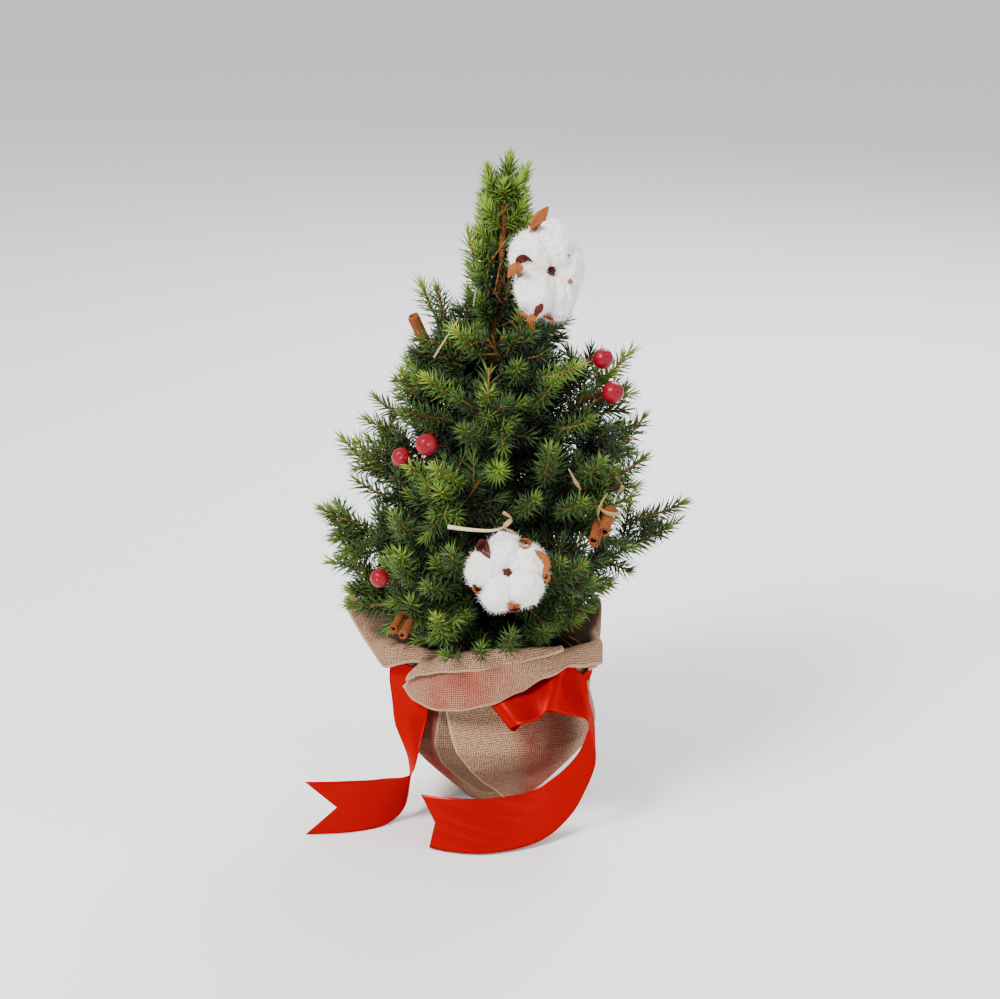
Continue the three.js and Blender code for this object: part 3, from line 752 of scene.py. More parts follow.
def needle_shoot(root, control, tip, tone=2, spread=WIDE, thick=0.85, young=True, free=False, dense=1.0):
    """One shoot: a twig with needles in a close spiral all round it and a tuft of paler ones at its tip."""
    curve = Curve(root, control, tip)
    span = curve.length
    count = max(NEEDLE["fewest"], int(span * NEEDLE["per_mm"] * dense))
    order = (np.arange(count) + 0.5) / count
    roots = curve.at(order[:, None])
    tangents = units(curve.heading(order[:, None]))
    turns = np.radians(GOLDEN_ANGLE) * np.arange(count) + random.uniform(*ANY_TURN)
    out = all_turned(*square_to(curve.tangent(0.5), curve.steep), turns)
    out = units(out - (out * tangents).sum(1, keepdims=True) * tangents)
    near_tip = np.clip((order - 1) * span / NEEDLE["tuft"] + 1, 0, 1)
    closing = NEEDLE["closing"] * spread[1] * near_tip**1.3
    angles = np.radians(mix(*spread, order) - closing + random.normal(0, NEEDLE["wander"], count))
    directions = tangents * np.cos(angles)[:, None] + out * np.sin(angles)[:, None]
    lengths = NEEDLE["length"] * mix(1, NEEDLE["tuft_share"], near_tip)
    lengths *= random.uniform(*NEEDLE["variety"], count)
    lengths *= mix(NEEDLE["foot_share"], 1, np.clip(order * span / NEEDLE["foot"], 0, 1))
    tips = roots + directions * lengths[:, None]
    fine = away_from_trimmings(tips, 0) & away_from_trimmings(roots, 0.5) & clear_of_cloth(tips)
    fine &= free | (across_crown(tips) < reach_at(tips[:, 2]) + OVER_EDGE)
    fine &= ~(before_trunk(tips) | before_trunk((tips + roots) / 2)) | (random.random(count) < STRAY)
    young_part = near_tip > NEEDLE["pale_from"]
    for part, step in ((~young_part, 0), (young_part, 1)):
        pick = fine & part
        if pick.any():
            batch = needles(roots[pick], directions[pick], tangents[pick], lengths[pick], NEEDLE["radius"])
            sprays[ORDER[min(tone + step, 4)]].append(batch)
    knots = np.linspace(0, 1, 5)
    points = np.array([curve.at(share) for share in knots])
    if away_from_trimmings(points, 0.5).all() and clear_of_cloth(points[1:]).all():
        twig = rod(points, mix(thick, TWIG_TIP, knots))
        (young_twigs if young else old_twigs).append(twig)


# Painted light and shade on the needles: tones darken towards the crown's middle, lighten at its edge and
# above top_from
TONE = {"darkest": -0.9, "edge": 3.6, "chance": 0.4, "top": 0.7, "top_from": 330, "lightest": 3}


def tone_of(tip):
    """How light a spray is: dark deep in the crown, partly the older needles' own green and partly painted
    shade, bright at its edge and its top as painted light, with chance in it.
    """
    depth = across_crown(tip) / max(reach_at(tip[2]), 8)
    light = depth * TONE["edge"] + TONE["darkest"] + random.normal(0, TONE["chance"])
    light += TONE["top"] * (tip[2] > TONE["top_from"])
    return int(np.clip(light, 0, TONE["lightest"]))


TWIG_SAG = 0.04
UPTURN = 0.15
SHORTER = (1, 0.8, 0.62)  # a shoot that doesn't fit is tried again at these shares of its length


def branch_off(curve, share, turn, spread, length):
    """The root, control point and tip of a side shoot that leaves a curve."""
    tangent = curve.tangent(share)
    direction = turned(tangent, turned(*square_to(tangent, curve.steep), turn), math.radians(spread))
    direction[2] += UPTURN
    direction = unit(direction)
    root = curve.at(share)
    tip = root + direction * length
    control = root + direction * length * 0.5
    control[2] -= TWIG_SAG * length
    return root, control, tip


EDGE_ROOM = 7  # how far shoots stay inside the crown's outline, for their needles
LOWEST_TIP = {"inside": 112, "outside": 128, "radius": 50}
OVERLAP = 9  # how far the shoots of neighbouring masses may reach into each other's space


def fits(tip, own):
    beyond = across_crown(tip) > reach_at(tip[2]) - EDGE_ROOM
    low = LOWEST_TIP["inside" if math.hypot(tip[0], tip[1]) < LOWEST_TIP["radius"] else "outside"]
    return not beyond and tip[2] > low and in_space(tip, own, OVERLAP)


def grow_side(curve, own, share, turn, spread, length, **kind):
    """Grows a side shoot, shortened until it fits, and returns its own curve, or nothing."""
    for shorter in SHORTER:
        root, control, tip = branch_off(curve, share, turn, spread, length * shorter)
        if fits(tip, own):
            needle_shoot(root, control, tip, tone=tone_of(tip), **kind)
            return Curve(root, control, tip)
    return None


# A limb's own twigs: its old stem, its end, and where the upper tier's limbs stop short
STEM = {"root": 1.7, "tip": 1.1, "end": 0.6, "on_trunk": 0.15}
LIMB_END = {"length": 52, "least": 0.45, "upper": 0.74}
# Twigs that fork off a side shoot, that clothe a limb's stem, and that fill the crown round a bare bough
FORKS = {"count": 3, "first": 0.22, "last": 0.72, "angle": 48, "longest": 0.72, "shortest": 0.5, "least": 20}
CLOTHING = {"count": 7, "last": 0.93, "turn": 60, "angle": 55, "lengths": (24, 34)}
FILLING = {"count": 4, "first": 0.1, "angle": 60, "lengths": (26, 36)}


def grow_limb(limb):
    """The solids' rule for a limb, carried on to finer twigs. It draws twice for each shoot, as they do, so
    that the shoots start in the same directions."""
    tier, curve, draw, start = limb["tier"], limb["curve"], limb["draw"], limb["start"]
    span = curve.length * (1 - tier["bare"])
    longest = min(SHOOT["longest"], span * SHOOT["span"])
    draw()
    inner = start if tier["bare"] else STEM["on_trunk"]
    stem = [curve.at(share) for share in np.linspace(start if tier["bare"] else 0, STEM["end"], 5)]
    old_twigs.append(rod(stem, np.linspace(STEM["root"], STEM["tip"], 5), 5))
    split = max(LIMB_END["least"], 1 - LIMB_END["length"] / curve.length)
    last = LIMB_END["upper"] if tier["name"] == "upper" else 1
    # The limb's end lies at the crown's edge and gets a brighter green as painted light
    tone = min(3, tone_of(curve.at(last)) + 1)
    needle_shoot(curve.at(split), curve.at((last + split) / 2), curve.at(last), tone, thick=1.1)
    middle = curve.at((inner + split) / 2)
    # The stem lies deep in the crown and gets a dark green, partly older needles and partly painted shade
    needle_shoot(curve.at(inner), middle, curve.at(split), tone=1, thick=1.3, young=False)
    shoots = SHOOTS.get(tier["name"], 6)
    for k in range(shoots):
        share = mix(SHOOT["first"], SHOOT["last"], k / shoots)
        place = mix(start, 1, share)
        turn = math.radians(k * GOLDEN_ANGLE) + 2 * math.pi * draw()
        draw()
        angle = mix(SHOOT["root_angle"], SHOOT["tip_angle"], share)
        length = longest * mix(1, SHOOT["taper"], share)
        shoot = grow_side(curve, limb, place, turn, angle, length, thick=1.0)
        if shoot is None:
            continue
        for step in range(FORKS["count"]):
            out = step / (FORKS["count"] - 1)
            fork = mix(FORKS["first"], FORKS["last"], out)
            finer = max(FORKS["least"], shoot.length * mix(FORKS["longest"], FORKS["shortest"], out))
            side_turn = math.radians(step * GOLDEN_ANGLE) + random.uniform(*ANY_TURN)
            grow_side(shoot, limb, fork, side_turn, FORKS["angle"], finer, thick=0.8)
    for step in range(CLOTHING["count"]):
        place = mix(start, CLOTHING["last"], (step + 0.5) / CLOTHING["count"])
        turn = math.radians(step * GOLDEN_ANGLE + CLOTHING["turn"]) + random.uniform(0, 1)
        length = random.uniform(*CLOTHING["lengths"])
        grow_side(curve, limb, place, turn, CLOTHING["angle"], length, thick=0.8)
    if tier["bare"]:
        for step in range(FILLING["count"]):
            place = mix(FILLING["first"], tier["bare"], step / FILLING["count"])
            turn = math.radians(step * GOLDEN_ANGLE) + random.uniform(*ANY_TURN)
            length = random.uniform(*FILLING["lengths"])
            grow_side(curve, limb, place, turn, FILLING["angle"], length, thick=0.9, young=False)


for limb in LIMBS:
    grow_limb(limb)


TRUNK_SHOOTS = {"count": 130, "low": 112, "high": 330, "rise": 0.5, "lengths": (30, 48), "young_from": 320}
OPEN_FRONT = {"from": 262, "facing": -0.7}  # above this height no trunk shoot faces the front so squarely


def add_trunk_shoots():
    """Short shoots straight from the trunk, which close the crown inside."""
    count = TRUNK_SHOOTS["count"]
    for step in range(count):
        z = mix(TRUNK_SHOOTS["low"], TRUNK_SHOOTS["high"], (step + 0.5) / count)
        turn = math.radians(step * GOLDEN_ANGLE)
        out = np.array([math.cos(turn), math.sin(turn), TRUNK_SHOOTS["rise"]])
        if out[1] < OPEN_FRONT["facing"] and z > OPEN_FRONT["from"]:
            continue
        root = trunk_middle(z)
        length = min(random.uniform(*TRUNK_SHOOTS["lengths"]), reach_at(z + 12) - 9)
        tip = root + unit(out) * length
        control = (root + tip) / 2 - 1.5 * UP
        young = z > TRUNK_SHOOTS["young_from"]
        # One tone darker near the trunk, as painted shade
        needle_shoot(root, control, tip, max(0, tone_of(tip) - 1), thick=0.9, young=young)


SPIRE_WHORLS = [(332, 28), (348, 28), (364, 27), (380, 26), (395, 23), (409, 18)]  # height, shoot length
SPIRE = {
    "shoots": 7,
    "first": 18,
    "turn": 37,
    "open_below": 400,  # the trunk shows from the front up to here
    "front": -0.85,
    "bright_above": 350,
    "bow": (0.85, 0.4),  # outwards and upwards
    "lean": (0.66, 0.75),
    "dense": 1.6,
}


def add_spire():
    """Whorls of upright shoots round the top of the trunk, which shows between them from the front."""
    for level, (height, longest) in enumerate(SPIRE_WHORLS):
        # Above bright_above the spire gets a brighter green, as painted light on the crown's top
        tone = 3 if height > SPIRE["bright_above"] else 2
        for step in range(SPIRE["shoots"]):
            side = polar(1, 360 / SPIRE["shoots"] * step + SPIRE["turn"] * level + SPIRE["first"], 0)
            if side[1] < SPIRE["front"] and height < SPIRE["open_below"]:
                continue
            root = trunk_middle(height + random.uniform(-3, 3))
            length = longest * random.uniform(*NEEDLE["variety"])
            control = root + (side * SPIRE["bow"][0] + UP * SPIRE["bow"][1]) * length * 0.5
            tip = root + unit(side * SPIRE["lean"][0] + UP * SPIRE["lean"][1]) * length
            needle_shoot(root, control, tip, tone, UPRIGHT, thick=0.8, dense=SPIRE["dense"])
    for tip, root in LEADER_SHOOTS:
        tip, root = np.array(tip, float), np.array(root, float)
        needle_shoot(root, (root + tip) / 2, tip, 3, UPRIGHT, thick=1.0, free=True, dense=1.8)


# The tips of the crown's outermost shoots, each with the place where its twig starts to be seen
EDGE_SHOOTS = [
    [(-49, -6, 358), (-37, 0, 330)],
    [(-38, -14, 356), (-33, -4, 332)],
    [(45, -10, 335), (27, -4, 323)],
    [(86, -14, 315), (66, -8, 291)],
    [(96, -10, 269), (79, -6, 248)],
    [(96, -24, 246), (76, -14, 230)],
    [(88, -34, 223), (71, -24, 212)],
    [(124, 4, 206), (90, 0, 195)],
    [(88, -30, 187), (70, -30, 192)],
    [(-61, -22, 303), (-54, -10, 282)],
    [(-79, 6, 278), (-64, 4, 267)],
    [(-85, -4, 266), (-67, 0, 258)],
    [(-102, 9, 249), (-82, 8, 228)],
    [(-92, -10, 226), (-70, -6, 212)],
    [(-117, 8, 200), (-88, 4, 190)],
    [(-110, -6, 168), (-86, -6, 163)],
    [(-97, -24, 144), (-68, -30, 147)],
]
# The tips of shoots that point at the viewer and show as stars
FRONT_SHOOTS = [
    (-21, -90, 285), (2, -98, 262), (33, -92, 273), (-29, -109, 211), (-38, -92, 160), (10, -92, 150),
    (13, -62, 318), (52, -62, 319), (-59, -52, 287), (54, -96, 240), (-55, -80, 258), (-64, -90, 228),
    (41, -100, 200), (60, -66, 175), (-10, -88, 138), (31, -78, 147), (-61, -94, 204), (-55, -90, 171),
    (59, -64, 283), (-26, -44, 336), (36, -64, 308), (24, -102, 244), (-38, -98, 262), (-44, -104, 186),
    (-33, -86, 133), (-44, -60, 310), (66, -84, 262), (-70, -70, 186), (74, -56, 214), (-50, -22, 326),
]
# The tips and roots of the shoots at the top of the trunk
LEADER_SHOOTS = [[(8, 0, 438), (3, 0, 402)], [(-5, -3, 431), (1, 0, 406)], [(18, 2, 430), (4, 0, 404)]]
# The tips of shoots that close gaps deep in the crown, in the near-black green that paints its shade
FILLING_SHOOTS = [
    (42, -24, 250), (46, 24, 256), (12, 38, 238), (18, -42, 232), (-22, 32, 252), (64, 2, 262),
    (70, 30, 238), (84, -6, 224), (38, 2, 276), (-20, -30, 262), (54, -44, 238), (30, 44, 262),
    (16, -20, 262), (60, -30, 246),
]
# Where on a limb a leading shoot may start, and how far below its own place
STARTS = {"shares": (0.08, 0.85), "tries": 12, "below": 4}
FRONT_LEAN = (0.35, 1.15)  # how steeply front shoots rise
FRONT_ASIDE = (-30, 30)  # how far to the side they point
FRONT_LENGTH = (30, 42)


def nearest_limb_place(point):
    """The place on the limbs from which a twig would grow to a point: near it, and lower and further in."""
    best = None
    for limb in LIMBS:
        for share in np.linspace(*STARTS["shares"], STARTS["tries"]):
            place = limb["curve"].at(share)
            gap = np.linalg.norm(point - place)
            too_high = max(0, place[2] - point[2] + STARTS["below"])
            too_far_out = max(0, across_crown(place) - across_crown(point))
            cost = gap + 2 * too_high + too_far_out
            if best is None or cost < best[0]:
                best = (cost, place)
    return best[1]


def add_leading_shoots():
    """The shoots that make the crown's outline, and the ones that show as stars on its front."""
    pairs = [(np.array(tip, float), np.array(start, float)) for tip, start in EDGE_SHOOTS]
    for place in FRONT_SHOOTS:
        tip = np.array(place, float)
        lean = random.uniform(*FRONT_LEAN)
        aside = random.uniform(*FRONT_ASIDE)
        outward = unit(np.array([tip[0] * 0.8 + aside, tip[1], -lean * tip[1]]))
        pairs.append((tip, tip - outward * random.uniform(*FRONT_LENGTH)))
    for index, (tip, start) in enumerate(pairs):
        root = nearest_limb_place(start)
        # The inner part of a leading shoot is dark green as painted shade, its outer part brighter as painted
        # light
        needle_shoot(root, (root + start) / 2 - 2 * UP, start, 1, young=False, free=True)
        bend = (start + tip) / 2 - 0.06 * np.linalg.norm(tip - start) * UP
        needle_shoot(start, bend, tip, 3 if index % 3 == 0 else 2, thick=1.0, free=True)


def add_filling_shoots():
    for place in FILLING_SHOOTS:
        tip = np.array(place, float)
        root = trunk_middle(tip[2] - 30) * 0.5 + (tip - 16 * UP) * 0.5
        # Tone 0, the near-black green, as painted shade deep in the crown
        needle_shoot(root, (root + tip) / 2, tip, 0, young=False, dense=1.3)


add_trunk_shoots()
add_spire()
add_leading_shoots()
add_filling_shoots()
foliage_nodes = [name for name in nodes if name.startswith("foliage")]
for name in ORDER:
    replaced = foliage_nodes if name == "green" else ()
    joined_piece(f"needles_{name}", sprays[name], "foliage", GREENS[name], replaced)
joined_piece("twigs_young", young_twigs, "bark", YOUNG_TWIG)
joined_piece("twigs_old", old_twigs, "bark", OLD_TWIG)

# The burlap


def wrap_radius(z):
    return along(WRAP_OUTLINE, z)


def fold_at(degrees, z):
    """How far the gathered cloth stands out at a place, none at the foot and at the tied neck."""
    wave = 0.5 + 0.5 * math.cos(math.radians(degrees * FOLDS["count"] + 40 + z * 0.6))
    fade = math.sin(math.pi * min(max(z, 0) / FOLDS["top"], 1)) ** 2
    return FOLDS["depth"] * wave**2 * fade


def crease(degrees, z, depth):
    """Small irregular creases that run down the cloth from the tie."""
    at = Vector((math.cos(math.radians(degrees)) * 5, math.sin(math.radians(degrees)) * 5, z / 60))
    return depth * noise.noise(at) + 0.4 * depth * noise.noise(at * 2.3)


# The cloth under the pot takes this share of the body's sheet: its radii and heights, by share
UNDERSIDE = 0.16
UNDERSIDE_RADIUS = [[0, 0.01], [0.12, 22], [UNDERSIDE, 23.4]]
UNDERSIDE_HEIGHT = [[0, 0.5], [0.12, 0.5], [UNDERSIDE, 1]]


def body_place(s, t):
    degrees = 360 * s
    if t < UNDERSIDE:
        return polar(along(UNDERSIDE_RADIUS, t), degrees, along(UNDERSIDE_HEIGHT, t))
    z = mix(1, WRAP_RIM, (t - UNDERSIDE) / (1 - UNDERSIDE))
    taper = min(z / 12, 1)
    return polar(wrap_radius(z) + fold_at(degrees, z) + taper * crease(degrees, z, 0.9) - 0.4, degrees, z)


# The front flap, which comes to one point right of the middle: the angles of its edges and how far it stands
# off the cloth under it, by height
FLAP = {
    "low": 0.8,
    "high": 88,
    "left": [[0, 19], [8, 8], [30, -10], [55, -22], [72, -28], [86, -33]],
    "right": [[0, 24], [15, 47], [38, 76], [60, 82], [86, 78]],
    "lift": [[0, 5.8], [14, 3.4], [62, 3.4], [80, 1.6]],
    "tucked": 1.8,  # how much closer its right side lies
    "left_curl": 2.2,
    "right_curl": 0.6,
    "bulge": 1.8,
}


def flap_place(s, t):
    z = mix(FLAP["low"], FLAP["high"], t)
    degrees = mix(along(FLAP["left"], z), along(FLAP["right"], z), s)
    lift = along(FLAP["lift"], z) - FLAP["tucked"] * max(0, (s - 0.55) / 0.45) * math.sin(math.pi * t)
    curl = (FLAP["left_curl"] * bump(s, 0, 0.07) + FLAP["right_curl"] * bump(s, 1, 0.07)) * min(z / 16, 1)
    bulge = FLAP["bulge"] * math.sin(math.pi * s) * math.sin(math.pi * t)
    radius = wrap_radius(z) + fold_at(degrees, z) * 0.6 + lift + curl + bulge + crease(degrees, z, 0.7)
    return polar(radius, degrees, z)


# The layer that shows left of the flap, darkened as painted shade under the flap
LAYER = {
    "low": 14,
    "high": 87,
    "left": [[0, 6], [16, -20], [26, -31], [38, -37], [55, -38], [68, -37], [84, -36]],
    "right": 20,
    "lift": 1.2,
    "curl": 1.6,
}


def layer_place(s, t):
    z = mix(LAYER["low"], LAYER["high"], t)
    degrees = mix(along(LAYER["left"], z), LAYER["right"], s)
    lift = LAYER["lift"] + LAYER["curl"] * bump(s, 0, 0.08)
    return polar(wrap_radius(z) + fold_at(degrees, z) + lift + crease(degrees, z, 0.5), degrees, z)


# The collar is turned down over the tie. Its front hangs as a leaf-shaped band with its left end on a slant,
# its back runs round behind the plant into the cloth's two back corners, and a second layer lies across the
# front, its hem with a pale band painted as a highlight. low is the hem's height, high the fold's and hem the
# hem's radius, all by angle.
# lift is how far a layer stands out, curl and drape how far its edge rolls out and its cloth waves, and
# ripple how far its height goes up and down.
COLLAR_FRONT = {
    "from": -56,
    "to": 78,
    "slant": 20,
    "lift": 0,
    "ripple": 0,
    "curl": (1.3, 0.07),
    "drape": (0.65, 5, 30, 160),
    "crease": (0, 0.8),
    "low": [
        [-56, 93], [-47, 87], [-33, 85.5], [-18, 89], [-4, 95], [10, 104], [22, 112], [36, 115], [52, 109],
        [78, 99],
    ],
    "high": [[-56, 101], [-45, 110], [-15, 121], [8, 125], [28, 126], [45, 124], [78, 117]],
    "hem": [[-56, 74], [-40, 75], [-20, 78], [0, 80], [25, 80], [40, 77], [55, 74], [78, 71]],
}
COLLAR_BACK = {
    "from": 70,
    "to": 329,
    "slant": 0,
    "lift": 0,
    "ripple": 1.5,
    "curl": (1.0, 0.07),
    "drape": (1.1, 9, 0, 120),
    "crease": (0, 0.8),
    "low": [[70, 95], [81, 93], [262, 93], [285, 100], [314, 112], [329, 115]],
    "high": [[70, 112], [81, 113], [262, 113], [285, 118], [314, 122], [329, 121]],
    "hem": [[70, 64.5], [80, 67], [100, 66.4], [240, 66.4], [270, 76], [290, 78], [308, 75], [329, 67]],
}
UPPER_FOLD = {
    "from": -51,
    "to": 34,
    "slant": 14,
    "lift": 2.4,
    "ripple": 0,
    "curl": (1.8, 0.12),
    "drape": (0, 0, 0, 0),
    "crease": (9, 0.7),
    "low": [[-56, 95], [-48, 102], [-40, 108], [-26, 114], [-12, 117], [2, 120], [18, 124.5], [34, 127]],
    "high": [[-56, 100], [-48, 109], [-40, 117], [-26, 125], [-12, 129], [2, 131], [18, 130], [34, 127.5]],
    "hem": [[-56, 73.5], [34, 73.5]],
}
RIPPLES = 6
HEM_BULGE = 5  # how far the fold stands out past the hem
CORNERS = [(255, 17, 108, 131), (116, 15, 78, 128)]  # each corner's angle, spread, radius and height
COLLAR_ROOT = 61.6  # radius where the collar goes on from the wrap's rim
STRAIGHTENED = (0, 0.12, 0.6, 1)  # where a corner's section has its four control points


def smooth_along(pairs, position):
    """Like along, with eased steps, so that a hem has no corners."""
    for (x0, y0), (x1, y1) in zip(pairs, pairs[1:]):
        if position <= x1:
            share = max(0, (position - x0) / (x1 - x0))
            return mix(y0, y1, share * share * (3 - 2 * share) * 0.6 + share * 0.4)
    return pairs[-1][1]


def collar_section(degrees, low, high, hem, t, out):
    """The collar's section at an angle: from the rim, t = 1, over the fold to the hem, t = 0. At a corner it
    runs straight out to the cloth's point."""
    rim = WRAP_RIM + 2 * CLEAR
    fold = (8 * high - rim - low) / 6
    turned_down = [
        [COLLAR_ROOT, rim], [COLLAR_ROOT + 1 + out, fold], [hem + HEM_BULGE + out, fold], [hem + out, low],
    ]
    points = np.array(turned_down, float)
    for angle, spread, radius, z in CORNERS:
        flat = np.array([[mix(COLLAR_ROOT, radius, k), mix(rim, z, k)] for k in STRAIGHTENED])
        points = mix(points, flat, bump(degrees, angle, spread))
    weights = np.array([t**3, 3 * (1 - t) * t**2, 3 * (1 - t) ** 2 * t, (1 - t) ** 3])
    radius, z = weights @ points
    return polar(radius, degrees, z)


def collar_place(layer):
    """The places of one layer of the collar, from its hem, t = 0, over the fold to the rim, t = 1."""
    height, waves, phase, twist = layer["drape"]

    def place(s, t):
        degrees = mix(layer["from"] + layer["slant"] * t, layer["to"], s)
        ripple = layer["ripple"] * math.sin(math.radians(degrees * RIPPLES))
        low = smooth_along(layer["low"], degrees) + ripple
        high = smooth_along(layer["high"], degrees) + ripple
        curl = layer["curl"][0] * bump(t, 0, layer["curl"][1])
        drape = height * math.sin(math.radians(degrees * waves + phase + twist * t))
        drape *= math.sin(math.pi * min(1, t * 1.2))
        creased = crease(degrees, 40 * t + layer["crease"][0], layer["crease"][1])
        out = layer["lift"] + curl + drape + creased
        return collar_section(degrees, low, high, along(layer["hem"], degrees), t, out)

    return place


collar_front, upper_fold, collar_back = map(collar_place, (COLLAR_FRONT, UPPER_FOLD, COLLAR_BACK))
sheet("wrap_body_cloth", body_place, 220, 90, CLOTH, "burlap", BURLAP_BODY, ["wrap_body"], True)
sheet("wrap_flap_cloth", flap_place, 90, 80, CLOTH, "burlap", BURLAP_FLAP, ["wrap_flap"])
sheet("wrap_under_layer", layer_place, 50, 70, CLOTH, "burlap", BURLAP_LAYER_SHADED)
sheet("wrap_collar", collar_front, 130, 40, CLOTH, "burlap", BURLAP_COLLAR, ["wrap_collar_front"])
sheet("wrap_upper_fold", upper_fold, 90, 26, CLOTH, "burlap", BURLAP_FOLD)
sheet("wrap_collar_rear", collar_back, 200, 36, CLOTH, "burlap", BURLAP_BACK, ["wrap_collar_back"])

# The ribbon: a tail at the left, a folded loop with a long tail in front, and the tie round the neck

# Each route has middle points and, beside each point, the direction of the ribbon's width there
LEFT_ROUTE = [
    [[-58.3, -36.4, 106], [0.72, -0.69, 0]],
    [[-58.7, -36.8, 92], [0.74, -0.67, 0]],
    [[-58.2, -38, 76], [0.68, -0.73, 0]],
    [[-59.5, -43, 60], [0.5, -0.86, 0]],
    [[-57, -54, 40], [0.12, -0.95, 0.3]],
    [[-61, -58, 24], [0.05, -0.55, 0.85]],
    [[-76, -64, 18.8], [0, -0.1, 1]],
    [[-101, -71, 18.6], [0, 0.1, 1]],
    [[-127, -73, 18.6], [0, 0.15, 1]],
]
FRONT_ROUTE = [
    [[40, -64.3, 91], [0.05, 0.45, 0.89]],
    [[26, -69, 93], [-0.1, 0.6, 0.79]],
    [[12, -72, 90], [-0.38, 0.75, 0.53]],
    [[3, -75, 88.5], [-0.5, 0.74, 0.45]],
    [[-1, -79, 91], [-0.54, 0.72, 0.43]],
    [[3, -83, 95.5], [-0.52, 0.73, 0.44]],
    [[13, -82, 98.5], [-0.36, 0.8, 0.48]],
    [[25, -77.5, 101], [-0.1, 0.8, 0.58]],
    [[38.5, -76, 107], [0.28, 0.67, 0.69]],
    [[48, -71.5, 101], [0.28, 0.8, 0.53]],
    [[56, -65.5, 93], [0.18, 0.95, 0.26]],
    [[60, -63, 84], [0.09, 0.99, -0.09]],
    [[62.5, -63.5, 75], [0.13, 0.93, -0.34]],
    [[62.3, -65.6, 64.8], [0.18, 0.8, -0.57]],
    [[59.6, -70.6, 53.4], [0.31, 0.74, -0.59]],
    [[52, -76, 40.7], [0.33, 0.55, -0.77]],
    [[43, -82, 31], [0.3, 0.3, -0.9]],
    [[27, -91, 22], [0.06, -0.1, -0.99]],
    [[-3, -100, 18.7], [-0.05, -0.28, -0.96]],
    [[-30, -99, 18.7], [0.08, -0.22, -0.97]],
    [[-47, -93, 18.7], [0.15, -0.2, -0.97]],
]


def root_distance(a, b):
    return max(float(np.sum((b - a) ** 2)) ** 0.25, 1e-4)


def through(points):
    """A smooth line through points, with steps between them that follow the roots of their distances."""
    points = np.array(points, float)
    count = len(points) - 1

    def at(share):
        position = min(max(share, 0), 1) * count
        index = min(int(position), count - 1)
        weight = position - index
        p1, p2 = points[index], points[index + 1]
        p0 = points[index - 1] if index > 0 else 2 * p1 - p2
        p3 = points[index + 2] if index + 2 <= count else 2 * p2 - p1
        d0, d1, d2 = root_distance(p0, p1), root_distance(p1, p2), root_distance(p2, p3)
        t1 = ((p1 - p0) / d0 - (p2 - p0) / (d0 + d1) + (p2 - p1) / d1) * d1
        t2 = ((p2 - p1) / d1 - (p3 - p1) / (d1 + d2) + (p3 - p2) / d2) * d1
        w2, w3 = weight**2, weight**3
        return p1 + t1 * weight + (3 * (p2 - p1) - 2 * t1 - t2) * w2 + (2 * (p1 - p2) + t1 + t2) * w3

    return at


def strip_place(route, notch, gathered):
    """The places of a ribbon along a route. notch is the depth of the swallow-tail cut at its end, as a share
    of the route, and gathered the share of its width that it opens to, by share of the route."""
    middle = through([point for point, _ in route])
    lean = through([unit(np.array(across, float)) for _, across in route])

    def place(s, t):
        share = t * (1 - notch * (1 - abs(2 * s - 1)))
        width = RIBBON["width"] * along(gathered, share)
        return middle(share) + unit(lean(share)) * (s - 0.5) * width

    return place


def add_strip(name, route, steps, notch, gathered, replaced):
    place = strip_place(route, notch, gathered)
    sheet(name, place, 18, steps, RIBBON["thickness"], "ribbon", SATIN, replaced)


FULL_WIDTH = [[0, 1], [1, 1]]
FROM_KNOT = [[0, 0.35], [0.06, 0.5], [0.15, 1], [1, 1]]
add_strip("ribbon_left", LEFT_ROUTE, 130, 0.1, FULL_WIDTH, ["ribbon_tail_left"])
add_strip("ribbon_front", FRONT_ROUTE, 240, 0.02, FROM_KNOT, ["ribbon_bow", "ribbon_tail_front"])

TIE = {"low": 89, "high": 97, "radius": RIBBON["band_radius"] + RIBBON["thickness"] / 2}


def tie_place(s, t):
    degrees = 360 * s
    gather = 0.35 * math.sin(math.radians(degrees * 11)) + 0.25 * math.sin(math.radians(degrees * 23 + 50))
    return polar(TIE["radius"] + gather * math.sin(math.pi * t), degrees, mix(TIE["low"], TIE["high"], t))


sheet("ribbon_tie", tie_place, 180, 10, RIBBON["thickness"], "ribbon", SATIN, ["ribbon_band"], closed=True)

# Pot and soil

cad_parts["pot"].data.materials.clear()
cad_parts["pot"].data.materials.append(PLASTIC)

SOIL_FOOT = 3.8
SOIL_GAP = 1.2  # between the soil and the pot's wall
SOIL_TOP_SHARE = 0.8  # the share of the soil's sheet that makes its top


def soil_radius(z):
    return along(POT, z) - POT_WALL - SOIL_GAP


def soil_place(s, t):
    degrees = 360 * s
    if t > SOIL_TOP_SHARE:
        z = mix(SOIL_HEIGHT, SOIL_FOOT, (t - SOIL_TOP_SHARE) / (1 - SOIL_TOP_SHARE))
        return polar(soil_radius(z), degrees, z)
    spot = polar(mix(0.01, soil_radius(SOIL_HEIGHT), t / SOIL_TOP_SHARE), degrees, 0)
    crumb = noise.fractal(Vector(spot) / 5, 1, 2, 4)
    return spot + (SOIL_HEIGHT - 1 + 0.9 * crumb) * UP


soil_mesh = bmesh.new()
sheet_bmesh(soil_mesh, soil_place, 90, 50, closed=True)
bmesh.ops.holes_fill(soil_mesh, edges=soil_mesh.edges, sides=0)
bmesh.ops.recalc_face_normals(soil_mesh, faces=soil_mesh.faces)
keep(finish_bmesh(soil_mesh, "peat"), "peat", "soil", SOIL, ["soil"])

# Cotton bolls


def standing(thing):
    """Where a decoration is, and the directions to its right, upwards and the way that it faces."""
    ahead = unit(np.array(thing["faces"], float))
    right = unit(np.cross(UP, ahead))
    return np.array(thing["centre"], float), right, np.cross(ahead, right), ahead


